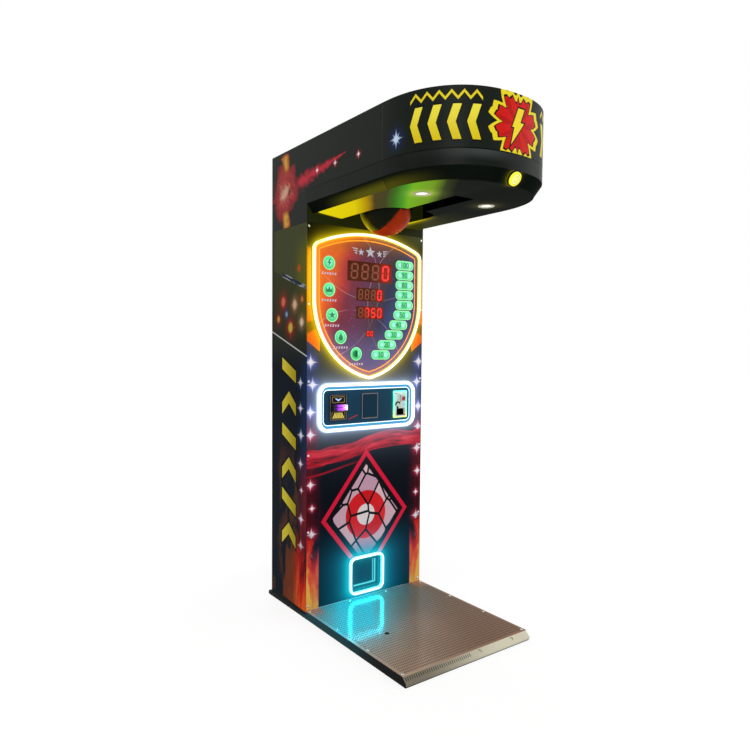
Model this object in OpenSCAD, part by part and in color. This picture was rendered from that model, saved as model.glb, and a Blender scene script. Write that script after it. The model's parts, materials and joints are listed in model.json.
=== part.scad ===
// Punch tester: a floor-standing machine with an overhanging head and a drop-down punch ball

/* [Cabinet] */
// Height from the floor to the rim of the head
overall_h = 2250; // [2150:10:2350]
// Width of cabinet, head and base
cab_w = 705; // [680:5:740]
// Depth of the cabinet from front panel to back panel
cab_d = 353; // [330:1:400]
// Thickness of the sheet metal
sheet = 2; // [1.5:0.5:2.5]
// Reveal left between neighbouring skins
seam = 0.6; // [0.4:0.1:0.9]
// Side of the square tubes inside
tube = 30; // [25:1:35]
// Wall of the square tubes
tube_wall = 2; // [1.5:0.5:3]
// Width of the folded flanges of the side panels
flange = 25; // [22:1:28]

/* [Base] */
// Height of the flat steel bars on the floor
skid_h = 18; // [12:1:25]
// Width of those bars
skid_w = 40; // [30:1:50]
// How far the base runs out behind the back panel
rear_lip = 36; // [30:1:60]
// Length of the deck in front of the front panel
deck_l = 739; // [650:1:850]
// Thickness of the board under the tread plate
board_h = 20; // [15:1:26]
// Run of the sloping nosing in front of the deck
nosing_run = 25; // [18:1:30]
// Radius of the anchor holes in the rear bar
anchor_r = 6; // [5:0.5:7]
// Distance between the two anchor holes
anchor_gap = 500; // [400:10:560]

/* [Head] */
// Reach of the head in front of the front panel
head_reach = 956; // [900:1:1000]
// Length of the head's straight sides
nose_start = 579; // [560:1:600]
// Fullness of the rounded nose, 2 is an ellipse
nose_power = 2.3; // [2:0.1:2.6]
// Height of the head's band down to its lower edge
head_h = 285; // [270:1:310]
// Height of the plain trim along the lower edge
trim_h = 62; // [50:1:75]
// Height of the whole head module where it joins the cabinet
module_h = 370; // [360:1:400]
// How far the chamfer under the head leans in
chamfer_in = 32; // [26:1:40]
// Height of that chamfer
chamfer_drop = 48; // [42:1:56]
// Depth of the top cover below the rim
rim_h = 12; // [6:1:20]

/* [Ball slot] */
// Half width of the slot where the ball lies
slot_wide = 162; // [150:1:175]
// Half width of the slot for the arm
slot_narrow = 52; // [50:1:60]
// Where the wide part starts to close, from the front panel
slot_turn = 255; // [245:1:265]
// Length of the part that closes
slot_close = 115; // [100:1:120]
// Front end of the slot, from the front panel
slot_end = 680; // [670:1:700]

/* [Punch ball] */
// Radius of the ball
ball_r = 126; // [105:1:130]
// Distance from the pivot to the ball's centre
arm_l = 482; // [468:1:486]
// Distance of the pivot in front of the front panel
pivot_reach = 620; // [612:1:626]
// Height of the pivot above the underside of the head
pivot_h = 90; // [84:1:96]
// Slope of the raised arm below level
arm_slope = 5.6; // [5:0.1:8]
// Height of the ball's neck above its centre
neck_h = 136; // [133:1:146]
// Radius of the neck
neck_r = 36; // [30:1:40]
// Radius of the arm tube
arm_r = 19; // [16:1:22]
// Radius of the pivot shaft
shaft_r = 12.5; // [10:0.5:14]
// Radial running clearance of shafts and pins
running = 0.05; // [0.04:0.01:0.08]

/* [Score board] */
// Height of the shield's crown above the floor
shield_top = 1853; // [1840:1:1860]
// Half width between the tube's centre lines
shield_half = 320; // [300:1:325]
// Height of the straight sides' lower ends below the crown
shield_side = 323; // [300:1:340]
// Radius of the crown
crown_r = 735; // [650:5:900]
// Radius of the lower curves
shield_curve = 389; // [360:1:420]
// Radius of the shoulders
shoulder_r = 34; // [24:1:45]
// Width and height of a light tube's section
neon_w = 14; // [10:1:18]
// Thickness of the boards that carry the light tubes
backing_t = 6; // [4:1:8]
// Thickness of the printed acrylic face
face_t = 3; // [2:0.5:4]

/* [Coin unit] */
// Height of its middle above the floor
coin_z = 1006; // [990:1:1020]
// Half width between the tube's centre lines
coin_half = 287; // [275:1:295]
// Half height between the tube's centre lines
coin_half_h = 109; // [100:1:116]
// Corner radius of that tube
coin_corner = 48; // [40:1:60]
// Place of the note acceptor, left of the middle
note_x = 182; // [175:1:190]
// Place of the coin acceptor, right of the middle
slot_x = 200; // [190:1:205]
// Width of the note acceptor
note_w = 99; // [90:1:105]
// Height of the note acceptor
note_h = 126; // [115:1:135]
// Width of the coin acceptor
acceptor_w = 87; // [80:1:95]
// Height of the coin acceptor
acceptor_h = 139; // [130:1:150]

/* [Prize outlet] */
// Height of its middle above the floor
outlet_z = 154; // [150:1:170]
// Half width between the tube's centre lines
outlet_half = 99; // [92:1:105]
// Half height between the tube's centre lines
outlet_half_h = 90; // [85:1:95]
// Corner radius of that tube
outlet_corner = 30; // [24:1:36]
// Depth of the chute
chute_d = 190; // [170:1:210]
// How far the flap sits behind the front panel
flap_back = 14; // [10:1:20]

/* [Service door] */
// Width of the door
door_w = 520; // [460:1:540]
// Height of the door
door_h = 820; // [700:1:880]
// Height of the door's lower edge above the floor
door_z = 480; // [450:1:520]
// Gap round the door
door_gap = 3; // [2:0.5:4]
// Depth of the door's folded rim
door_rim = 12; // [10:1:16]

/* [Hidden] */
$fn = 64;
trim_z = overall_h - head_h;
trim_top = trim_z + trim_h;
seam_z = overall_h - module_h;
belly_z = trim_z - chamfer_drop;
cover_z = overall_h - rim_h - sheet;
deck_z = skid_h + board_h;
plate_z = deck_z + sheet;
half_w = cab_w / 2;
inner_w = half_w - sheet;
base_front = deck_l + nosing_run;
nosing_drop = board_h + sheet + 3;
nosing_slope = nosing_drop / nosing_run;
board_front = deck_l + board_h / nosing_slope;
lip_h = 8;
nose_l = head_reach - nose_start;
nose_steps = 48;
fit = 0.3; // clearance between neighbours that don't touch

button_r = 27.3;
button_edge = 6; // radius of the cap's rounded edge
button_rim = 9; // height of the cap's straight side above the chamfer
bezel_r = 31;
stem_r = 10;
barrel_r = 14;
button_travel = 3;
chamfer_tilt = atan(chamfer_in / (chamfer_drop - sheet));
button_reach = (button_r - button_edge) * sin(chamfer_tilt) + button_rim * cos(chamfer_tilt) + button_edge;
front_reach = head_reach - chamfer_in / 2 + button_reach; // the start button stands furthest forward
front_y = (front_reach - cab_d - rear_lip) / 2; // puts the origin under the middle of the machine

rail_rise = 75; // underside of the rails above the pivot
rail_z = belly_z + pivot_h + rail_rise;
rail_x = inner_w - 2 * tube;
bumper_y = -400;
arm_up = 90 - arm_slope;
pivot_y = -pivot_reach;
pivot_z = belly_z + pivot_h;
hub_r = 28;
hub_half = 40;
bearing_x = 46;
bearing_w = 30;
disc_x = 86;
disc_r = 55;
disc_t = 2;
disc_slots = 24;
lug_s = 171; // distance of the latch lug from the pivot
lug_half = 8;
lug_x = 45;
latch_r = 6;
latch_travel = 28;
latch_tip = 58;
latch_x = 70;
latch_l = 60;

neon_y = -backing_t;
pill_w = 117;
pill_h = 48;
pill_pitch = 51.2;
pill_first = 131; // centre of the first score lens below the crown
pill_in = [98, 98, 98, 98, 99, 111, 136, 165, 209, 248];
lens_t = 1.5;
filter_t = 1;
icon_r = 34;
icon_places = [[83, 154], [84, 281], [101, 401], [151, 506], [242, 587]];
displays = [[271, 97, 181], [165, 64, 293], [165, 60, 382], [46, 32, 486]]; // width, height, drop
display_x = 4;

downlight_x = 183;
downlight_y = -622;
light_r = 27;
light_rim = 36;

screw_x = half_w - 11.5;
screw_heights = [1864, 1136, 783, 416, 57];
screw_r = 3;
head_r = 6;

board_opening = [100, 200, 400]; // half width, upper and lower edge below the crown
board_step = 10; // how far the backing covers that opening's edge
coin_panel_w = 2 * coin_half + neon_w + 10;
coin_panel_h = 2 * coin_half_h + neon_w + 10;
panel_y = -backing_t;
blank_x = 8;
blank_w = 100;
blank_h = 127;
note_mouth = [39, 13, 24]; // half width, half height, and how far it stands forward
note_gap = [34, 3]; // half width and half height of the way for a note
note_path = 60;
validator = [42, 46, 130]; // half width, half height, depth
mech = [31, 59, 80]; // half width, half height, depth
coin_gap = [2.5, 8, 48]; // half width, lower and upper end of the coin slot
coin_path = 60;
key_x = 20;
key_z = 28;
key_half = 10;
key_out = 6;
key_in = 14;
cup = [26, -58, -22, 30]; // half width, lower and upper edge, depth of the return cup

outlet_x = -5;
mouth_w = 2 * outlet_half - neon_w - 16;
mouth_h = 2 * outlet_half_h - neon_w - 16;
flap_t = 4;
pin_r = 3;
flap_pin_z = outlet_z + mouth_h / 2 - 8;

knuckle_r = 6;
knuckle_l = 30;
knuckle_gap = 0.6;
hinge_x = door_w / 2 + knuckle_r;
hinge_y = cab_d + knuckle_r + 1;
leaf_w = 26;
leaf_t = 2;
hinge_heights = [110, door_h - 110];
lock_x = -door_w / 2 + 30;
lock_z = door_z + door_h / 2;
lock_r = 9;
lock_cam_l = 48;
lock_cam_w = 8;
lock_cam_t = 3;
lock_back = cab_d - sheet - door_rim - 4;

shelf_z = 620;
inlet_x = -250;
inlet_z = 200;
inlet_flange = [19, -30, 40]; // half width, lower and upper edge
inlet_body = [14.5, -23.5, 33.5, 30]; // half width, lower and upper edge, depth
socket = [11.5, -20, 2]; // half width, lower and upper edge of the socket
rocker_well = [8, 10, 32]; // half width, lower and upper edge of the switch's well
well_d = 16;
rocker_half = 7.5;
rocker_z = 21;
rocker_y = cab_d - 3;
rocker_pin = 1.2;
rocker_tilt = 8;
rocker_side = [[4.5, 9.6], [3, 0], [4.5, -9.6], [-2, -9.6], [-5, 0], [-2, 9.6]];

cash_box_w = 180;
cash_box_l = 200;
cash_box_h = 150;
cash_box_y = 60;
control_w = 180;
control_l = 200;
control_h = 90;
control_x = -210;
control_y = 80;
vent_z = 1500;
vent_half = 70;
vent_h = 6;
vent_pitch = 14;
vents = 8;
speaker_z = 1780;
speaker_r = 62;
grille_pitch = 16;
grille_r = 3.5;

// Everything is drawn with the front panel's face at y = 0 and then moved back
module at_front() translate([0, front_y, 0]) children();

module block(x0, x1, y0, y1, z0, z1) translate([x0, y0, z0]) cube([x1 - x0, y1 - y0, z1 - z0]);

module rod_x(r, x0, x1, y, z) translate([x0, y, z]) rotate([0, 90, 0]) cylinder(r = r, h = x1 - x0);

module rod_y(r, x, y0, y1, z) translate([x, y1, z]) rotate([90, 0, 0]) cylinder(r = r, h = y1 - y0);

// Stands a flat outline up in front of the panel, from y0 to y1
module upright(y0, y1) translate([0, y1, 0]) rotate([90, 0, 0]) linear_extrude(y1 - y0) children();

module both_sides() {
    children();
    mirror([1, 0, 0]) children();
}

module tube_y(x, y0, y1, z) difference() {
    block(x, x + tube, y0, y1, z, z + tube);
    block(x + tube_wall, x + tube - tube_wall, y0 - 1, y1 + 1, z + tube_wall, z + tube - tube_wall);
}

module tube_x(x0, x1, y, z) difference() {
    block(x0, x1, y, y + tube, z, z + tube);
    block(x0 - 1, x1 + 1, y + tube_wall, y + tube - tube_wall, z + tube_wall, z + tube - tube_wall);
}

module tube_z(x, y, z0, z1) difference() {
    block(x, x + tube, y, y + tube, z0, z1);
    block(x + tube_wall, x + tube - tube_wall, y + tube_wall, y + tube - tube_wall, z0 - 1, z1 + 1);
}

function arc(cx, cy, r, a0, a1, n) = [for (i = [0:n]) let (a = a0 + (a1 - a0) * i / n)
    [cx + r * cos(a), cy + r * sin(a)]];

function rounded(w, h, r) = concat(
    arc(w / 2 - r, h / 2 - r, r, 0, 90, 8), arc(-w / 2 + r, h / 2 - r, r, 90, 180, 8),
    arc(-w / 2 + r, -h / 2 + r, r, 180, 270, 8), arc(w / 2 - r, -h / 2 + r, r, 270, 360, 8));

// A point of the rounded nose in plan, drawn in along the outline's normal
function nose_point(t, inset) = let (
    x = half_w * sign(cos(t)) * pow(abs(cos(t)), 2 / nose_power),
    y = nose_l * pow(abs(sin(t)), 2 / nose_power),
    nx = sign(x) * pow(abs(x) / half_w, nose_power - 1) / half_w,
    ny = pow(y / nose_l, nose_power - 1) / nose_l,
    n = norm([nx, ny]))
    [x - inset * nx / n, -nose_start - y + inset * ny / n];

function nose(inset) = [for (i = [0:nose_steps]) nose_point(180 * i / nose_steps, inset)];

function head_plan(inset, back) = concat([[half_w - inset, back]], nose(inset), [[inset - half_w, back]]);

// The shield outline, drawn in by inset; its arcs keep their centres
function shield(inset) = let (
    top = crown_r - inset,
    low = shield_curve - inset,
    r = shoulder_r - inset,
    side_z = shield_top - shield_side,
    cx = shield_half - shoulder_r,
    crown_z = shield_top - crown_r,
    shoulder_z = crown_z + sqrt(pow(crown_r - shoulder_r, 2) - cx * cx),
    low_x = shield_curve - shield_half,
    tip = acos(low_x / low),
    turn = atan2(cx, shoulder_z - crown_z),
    right = concat(arc(-low_x, side_z, low, -tip, 0, 20), arc(cx, shoulder_z, r, 0, 90 - turn, 6),
        arc(0, crown_z, top, 90 - turn, 90, 12)))
    concat(right, [for (i = [len(right) - 2:-1:1]) [-right[i][0], right[i][1]]]);

// Outline of the slot in the underside, open at the front panel
function slot_side() = concat([[slot_wide, 1]],
    [for (i = [0:12]) let (a = 90 * i / 12)
        [slot_narrow + (slot_wide - slot_narrow) * cos(a), -slot_turn - slot_close * sin(a)]],
    [[slot_narrow, -slot_end]]);

function mirrored(side) = concat(side, [for (i = [len(side) - 1:-1:0]) [-side[i][0], side[i][1]]]);

// Base

module base_frame() color("#15191a") {
    difference() {
        union() {
            both_sides() block(half_w - skid_w, half_w, -board_front, cab_d + rear_lip, 0, skid_h);
            for (y = [-board_front, -deck_l / 2, -skid_w, cab_d + rear_lip - skid_w])
                block(-half_w + skid_w + seam, half_w - skid_w - seam, y, y + skid_w, 0, skid_h);
        }
        for (side = [-1, 1]) translate([side * anchor_gap / 2, cab_d + rear_lip / 2, -1])
            cylinder(r = anchor_r, h = skid_h + 2);
    }
}

deck_screw_x = half_w - 12;
deck_screws = concat(
    [for (i = [0:3], side = [-1, 1]) [side * deck_screw_x, -20 - i * (deck_l - 32) / 3]],
    [for (i = [1:2]) [-deck_screw_x + i * 2 * deck_screw_x / 3, -20]]);

module deck_board() color("#15191a") difference() {
    rotate([90, 0, 90]) translate([0, 0, -half_w]) linear_extrude(cab_w)
        polygon([[-seam, skid_h], [-seam, deck_z], [-deck_l, deck_z], [-board_front, skid_h]]);
    for (p = deck_screws) translate([p[0], p[1], skid_h - 1]) cylinder(r = screw_r, h = board_h + 2);
}

// Bent from one sheet: top, sloping nosing and a short lip
module tread_plate() color("#b9bcb6") difference() {
    rotate([90, 0, 90]) translate([0, 0, -half_w]) linear_extrude(cab_w)
        polygon([[-seam, deck_z], [-seam, plate_z], [-deck_l, plate_z],
            [-base_front, plate_z - nosing_drop], [-base_front, plate_z - nosing_drop - lip_h],
            [-base_front + sheet, plate_z - nosing_drop - lip_h],
            [-base_front + sheet, deck_z - (nosing_run - sheet) * nosing_slope], [-deck_l, deck_z]]);
    for (p = deck_screws) translate([p[0], p[1], deck_z - 1]) cylinder(r = screw_r, h = sheet + 2);
}

module plate_screws() color("#d0d0cc") for (p = deck_screws) translate([p[0], p[1], 0]) {
    translate([0, 0, skid_h + 4]) cylinder(r = screw_r, h = plate_z - skid_h - 4);
    translate([0, 0, plate_z]) cylinder(r = head_r, h = 1.6);
}

// Inner frame

module upright_posts() color("#3a3d40") both_sides() for (y = [2 * sheet, cab_d - 2 * sheet - tube])
    tube_z(inner_w - tube, y, skid_h, cover_z);

module head_rails() color("#3a3d40") both_sides()
    tube_y(rail_x, pivot_y - 60, cab_d - 2 * sheet, rail_z);

module cross_bars() color("#3a3d40") {
    tube_x(-rail_x, rail_x, pivot_y - tube / 2, rail_z);
    tube_x(-rail_x, rail_x, bumper_y - tube / 2, rail_z);
}

// Cabinet

screws = [for (z = screw_heights, side = [-1, 1]) [side * screw_x, z]];

module screw_holes(y0, y1) for (p = screws) rod_y(screw_r, p[0], y0, y1, p[1]);

// A side panel: web, flange behind the front panel and flange behind the back panel
module side_panel() difference() {
    union() {
        block(inner_w, half_w, 0, cab_d, skid_h, seam_z - seam);
        block(half_w - flange, inner_w + 0.01, sheet, 2 * sheet, skid_h + 2, seam_z - seam);
        block(half_w - flange, inner_w + 0.01, cab_d - 2 * sheet, cab_d - sheet, skid_h + 2, seam_z - seam);
    }
    screw_holes(-1, 3 * sheet);
}

module left_side() color("#2b2f30") mirror([1, 0, 0]) side_panel();

module right_side() color("#2b2f30") side_panel();

module front_panel() color("#2b2f30") difference() {
    block(-inner_w + fit, inner_w - fit, 0, sheet, plate_z, seam_z - seam);
    screw_holes(-1, sheet + 1);
    translate([0, 0, coin_z]) upright(-1, sheet + 1) coin_windows();
    translate([outlet_x, 0, outlet_z])
        block(-mouth_w / 2, mouth_w / 2, -1, sheet + 1, -mouth_h / 2, mouth_h / 2);
    block(-board_opening[0], board_opening[0], -1, sheet + 1,
        shield_top - board_opening[2], shield_top - board_opening[1]);
}

module panel_screws() color("#c8c8c4") for (p = screws) {
    rod_y(screw_r, p[0], 0, 2 * sheet - 0.2, p[1]);
    rod_y(head_r, p[0], -1.8, 0, p[1]);
}

module throat_panel() color("#2b2f30")
    block(-inner_w + fit, inner_w - fit, 0, sheet, seam_z, rail_z - 22);

// Head

module head_side() {
    translate([half_w, 0, 0]) rotate([90, 0, -90]) linear_extrude(sheet)
        polygon([[-cab_d, seam_z], [0, seam_z], [0, trim_top + seam], [nose_start - seam, trim_top + seam],
            [nose_start - seam, overall_h], [-cab_d, overall_h]]);
    block(half_w - flange, inner_w + 0.01, cab_d - 2 * sheet, cab_d - sheet, seam_z, cover_z);
}

module head_left_side() color("#2b2f30") mirror([1, 0, 0]) head_side();

module head_right_side() color("#2b2f30") head_side();

module nose_skin() color("#2b2f30") translate([0, 0, trim_top + seam])
    linear_extrude(overall_h - trim_top - seam) difference() {
        polygon(nose(0));
        polygon(head_plan(sheet, 1 - nose_start));
    }

module trim_band() color("#1c2022") translate([0, 0, trim_z]) linear_extrude(trim_h) difference() {
    polygon(head_plan(0, -seam));
    polygon(head_plan(sheet, 1));
}

module side_chamfers() color("#1c2022") both_sides()
    translate([0, -seam, 0]) rotate([90, 0, 0]) linear_extrude(nose_start - 2 * seam)
        polygon([[half_w, trim_z], [half_w - sheet, trim_z], [half_w - chamfer_in - sheet, belly_z + sheet],
            [half_w - chamfer_in, belly_z + sheet]]);

// The chamfer follows the nose between two parallel outlines
module nose_chamfer() color("#1c2022") difference() {
    low = belly_z + sheet;
    rings = [[0, trim_z], [chamfer_in, low], [chamfer_in + sheet, low], [sheet, trim_z]];
    n = nose_steps + 1;
    points = [for (ring = rings, p = nose(ring[0])) [p[0], p[1], ring[1]]];
    polyhedron(points, concat(
        [for (k = [0:3], i = [0:nose_steps - 1]) let (k2 = (k + 1) % 4)
            [k * n + i, k * n + i + 1, k2 * n + i + 1, k2 * n + i]],
        [[0, n, 2 * n, 3 * n], [4 * n - 1, 3 * n - 1, 2 * n - 1, n - 1]]));
    on_chamfer() translate([0, 0, -20]) cylinder(r = barrel_r + fit, h = 40);
}

// Three sheets, left and right of the slot and in front of it
module belly_panel() color("#1c2022") difference() {
    translate([0, 0, belly_z]) linear_extrude(sheet) difference() {
        polygon(head_plan(chamfer_in, -seam));
        polygon(mirrored(slot_side()));
        translate([-half_w, -slot_end - seam / 2]) square([cab_w, seam]);
        for (side = [-1, 1]) translate([side * downlight_x, downlight_y]) circle(r = light_r);
    }
    on_chamfer() translate([0, 0, -1]) cylinder(r = bezel_r + fit, h = 9);
}

module top_cover() color("#1c2022") translate([0, 0, cover_z]) linear_extrude(sheet)
    polygon(head_plan(sheet, cab_d - sheet));

module downlight_bezels() color("#cfcabb") for (side = [-1, 1])
    translate([side * downlight_x, downlight_y, belly_z]) difference() {
        union() {
            translate([0, 0, -3]) cylinder(r = light_rim, h = 3);
            cylinder(r = light_r, h = 22);
        }
        translate([0, 0, -4]) cylinder(r = light_r - 4, h = 30);
    }

module downlight_lenses() color("#ffffff") for (side = [-1, 1])
    translate([side * downlight_x, downlight_y, belly_z - 1.5]) cylinder(r = light_r - 4, h = 18);

// Start button, square to the chamfer at the tip of the nose
module on_chamfer() translate([0, -head_reach + chamfer_in / 2, trim_z - (chamfer_drop - sheet) / 2])
    rotate([90 + chamfer_tilt, 0, 0]) children();

module button_bezel() color("#101214") on_chamfer() difference() {
    union() {
        cylinder(r = bezel_r, h = 7);
        translate([0, 0, -30]) cylinder(r = barrel_r, h = 31);
    }
    translate([0, 0, 2]) cylinder(r = button_r + fit, h = 6);
    translate([0, 0, -31]) cylinder(r = stem_r + fit, h = 40);
}

module start_button() color("#f2ec1c") on_chamfer() rotate_extrude() polygon(concat(
    [[0, -26], [stem_r, -26], [stem_r, 2 + button_travel + fit], [button_r, 2 + button_travel + fit]],
    arc(button_r - button_edge, button_rim, button_edge, 0, 90, 6), [[0, button_rim + button_edge + 1]]));

// Punch ball mechanism

module at_pivot() translate([0, pivot_y, pivot_z]) children();

// Draws a hanging arm in its raised place
module raised() at_pivot() rotate([arm_up, 0, 0]) children();

module bearing_blocks() color("#6d7376") both_sides() difference() {
    block(bearing_x, bearing_x + bearing_w, pivot_y - 25, pivot_y + 25, pivot_z - hub_r, rail_z);
    rod_x(shaft_r + running, bearing_x - 1, bearing_x + bearing_w + 1, pivot_y, pivot_z);
}

module arm_shaft() color("#b5b8ba") rod_x(shaft_r, -disc_x - 10, disc_x + 10, pivot_y, pivot_z);

module punch_arm() color("#24282a") raised() difference() {
    union() {
        rod_x(hub_r, -hub_half, hub_half, 0, 0);
        translate([0, 0, neck_h - arm_l]) cylinder(r = arm_r, h = arm_l - neck_h);
        translate([0, 0, neck_h - arm_l]) cylinder(r = neck_r, h = 8);
        block(0, lug_x, -lug_half, lug_half, -lug_s - 10, -lug_s + 10);
    }
    rod_x(shaft_r, -hub_half - 1, hub_half + 1, 0, 0);
}

// Round end, then a cone that leaves the ball at a tangent and runs to the neck
module punch_ball() color("#2a2c24") raised() translate([0, 0, -arm_l]) {
    rise = atan2(neck_r, neck_h) + acos(ball_r / norm([neck_r, neck_h]));
    rotate_extrude() polygon(concat(
        [for (i = [0:20]) let (a = 180 - (180 - rise) * i / 20) [ball_r * sin(a), ball_r * cos(a)]],
        [[neck_r, neck_h], [0, neck_h]]));
}

module speed_disc() color("#9da2a4") difference() {
    rod_x(disc_r, disc_x, disc_x + disc_t, pivot_y, pivot_z);
    rod_x(shaft_r, disc_x - 1, disc_x + disc_t + 1, pivot_y, pivot_z);
    at_pivot() for (i = [0:disc_slots - 1]) rotate([i * 360 / disc_slots, 0, 0])
        block(disc_x - 1, disc_x + disc_t + 1, -2, 2, disc_r - 14, disc_r - 4);
}

// Fork that reads the slots of the disc
module speed_sensor() color("#20242a") difference() {
    block(disc_x - 8, disc_x + disc_t + 8, pivot_y - 10, pivot_y + 10, pivot_z + disc_r - 18, rail_z);
    block(disc_x - 3, disc_x + disc_t + 3, pivot_y - 11, pivot_y + 11,
        pivot_z + disc_r - 19, pivot_z + disc_r + 6);
}

arm_top_z = pivot_z + (pivot_y - bumper_y) * tan(arm_slope) + arm_r / cos(arm_slope);

module stop_bumper() color("#141414")
    block(-20, 20, bumper_y - tube / 2, bumper_y + tube / 2, arm_top_z + 3, rail_z);

latch_y = pivot_y + lug_s * cos(arm_slope);
latch_z = pivot_z - lug_s * sin(arm_slope) - lug_half / cos(arm_slope) - latch_r - 3;

module latch_solenoid() color("#7b7f3a") difference() {
    block(latch_x, latch_x + latch_l, latch_y - 20, latch_y + 20, belly_z + sheet, latch_z + 20);
    rod_x(latch_r + running, latch_x - 1, latch_x + latch_l + 1, latch_y, latch_z);
}

module latch_pin() color("#c4c6c7") rod_x(latch_r, latch_tip, latch_x + latch_l - 4, latch_y, latch_z);

// Score board

module shield_backing() color("#151515") upright(-backing_t, 0) difference() {
    polygon(shield(-neon_w / 2 - 3));
    translate([board_step - board_opening[0], shield_top - board_opening[2] + board_step])
        square([2 * (board_opening[0] - board_step), board_opening[2] - board_opening[1] - 2 * board_step]);
}

module shield_face() color("#5d2c5c") upright(neon_y - face_t, neon_y) polygon(shield(neon_w / 2 + 2));

module shield_neon() color("#fff6b0") upright(neon_y - neon_w, neon_y) difference() {
    polygon(shield(-neon_w / 2));
    polygon(shield(neon_w / 2));
}

module display_filters() color("#4a1410") upright(neon_y - face_t - filter_t, neon_y - face_t)
    for (d = displays) translate([display_x, shield_top - d[2]]) square([d[0], d[1]], center = true);

// Ten score tablets down the right and five round ones down the left
module score_lenses() color("#3fdc7c") {
    for (i = [0:9]) translate([shield_half - pill_in[i], 0, shield_top - pill_first - i * pill_pitch])
        upright(neon_y - face_t - lens_t, neon_y - face_t) polygon(rounded(pill_w, pill_h, pill_h / 2 - 2));
    for (p = icon_places)
        rod_y(icon_r, p[0] - shield_half, neon_y - face_t - lens_t, neon_y - face_t, shield_top - p[1]);
}

// Coin unit

// Windows for the note validator and the coin mechanism
module coin_windows() {
    translate([-note_x, 0]) square(2 * [validator[0] + fit, validator[1] + fit], center = true);
    translate([slot_x, 0]) square(2 * [mech[0] + fit, mech[1] + fit], center = true);
}

module coin_panel() color("#101316") translate([0, 0, coin_z]) upright(panel_y, 0) difference() {
    polygon(rounded(coin_panel_w, coin_panel_h, coin_corner + 10));
    coin_windows();
}

module coin_neon() color("#f4fbff") translate([0, 0, coin_z])
    upright(panel_y - neon_w, panel_y) difference() {
        polygon(rounded(2 * coin_half + neon_w, 2 * coin_half_h + neon_w, coin_corner + neon_w / 2));
        polygon(rounded(2 * coin_half - neon_w, 2 * coin_half_h - neon_w, coin_corner - neon_w / 2));
    }

// Note acceptor: a faceplate with a mouth that stands forward
module note_bezel() color("#17181c") translate([-note_x, 0, coin_z]) difference() {
    union() {
        upright(panel_y - 6, panel_y) polygon(rounded(note_w, note_h, 5));
        block(-note_mouth[0], note_mouth[0], panel_y - 6 - note_mouth[2], panel_y - 5,
            -note_mouth[1], note_mouth[1]);
    }
    block(-note_gap[0], note_gap[0], panel_y - 7 - note_mouth[2], panel_y + 1, -note_gap[1], note_gap[1]);
}

module note_validator() color("#33363a") translate([-note_x, 0, coin_z]) difference() {
    block(-validator[0], validator[0], panel_y, validator[2], -validator[1], validator[1]);
    block(-note_gap[0], note_gap[0], panel_y - 1, note_path, -note_gap[1], note_gap[1]);
}

module blank_plate() color("#1b1c1e") translate([blank_x, 0, coin_z])
    upright(panel_y - 4, panel_y) polygon(rounded(blank_w, blank_h, 4));

// Coin slot, well of the return button and return cup, seen from the front
module coin_ways(y0, slot_back, key_back, cup_back) {
    block(-coin_gap[0], coin_gap[0], y0, slot_back, coin_gap[1], coin_gap[2]);
    translate([key_x, 0, key_z])
        block(-key_half - fit, key_half + fit, y0, key_back, -key_half - fit, key_half + fit);
    block(-cup[0], cup[0], y0, cup_back, cup[1], cup[2]);
}

module coin_face() color("#d9dcd4") translate([slot_x, 0, coin_z]) difference() {
    upright(panel_y - 8, panel_y) polygon(rounded(acceptor_w, acceptor_h, 4));
    coin_ways(panel_y - 9, panel_y + 1, panel_y + 1, panel_y + 1);
}

module coin_mech() color("#33363a") translate([slot_x, 0, coin_z]) difference() {
    block(-mech[0], mech[0], panel_y, mech[2], -mech[1], mech[1]);
    coin_ways(panel_y - 1, coin_path, panel_y + key_in, cup[3]);
}

module coin_return_button() color("#cf2a20") translate([slot_x + key_x, 0, coin_z + key_z])
    block(-key_half, key_half, panel_y - 8 - key_out + 2, panel_y + 6, -key_half, key_half);

// Prize outlet

module outlet_plate() color("#0d1012") translate([outlet_x, 0, outlet_z])
    upright(-backing_t, 0) difference() {
        polygon(rounded(2 * outlet_half + neon_w + 4, 2 * outlet_half_h + neon_w + 4, outlet_corner + 9));
        polygon(rounded(mouth_w, mouth_h, 10));
    }

module outlet_neon() color("#c8fbff") translate([outlet_x, 0, outlet_z])
    upright(-backing_t - neon_w, -backing_t) difference() {
        polygon(rounded(2 * outlet_half + neon_w, 2 * outlet_half_h + neon_w, outlet_corner + neon_w / 2));
        polygon(rounded(2 * outlet_half - neon_w, 2 * outlet_half_h - neon_w, outlet_corner - neon_w / 2));
    }

module outlet_chute() color("#2a2e30") translate([outlet_x, 0, outlet_z]) difference() {
    block(-mouth_w / 2, mouth_w / 2, 0, chute_d, -mouth_h / 2, mouth_h / 2);
    block(-mouth_w / 2 + sheet, mouth_w / 2 - sheet, -1, chute_d - sheet,
        -mouth_h / 2 + sheet, mouth_h / 2 - sheet);
    rod_x(pin_r + running, -mouth_w, mouth_w, flap_back, flap_pin_z - outlet_z);
}

// Hangs from a pin across the top of the chute and swings in
module outlet_flap() color("#123a46") translate([outlet_x, 0, 0]) {
    rod_x(pin_r, -mouth_w / 2 - 2, mouth_w / 2 + 2, flap_back, flap_pin_z);
    block(-mouth_w / 2 + sheet + 2, mouth_w / 2 - sheet - 2, flap_back - flap_t / 2, flap_back + flap_t / 2,
        outlet_z - mouth_h / 2 + sheet + 3, flap_pin_z);
}

// Back

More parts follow.
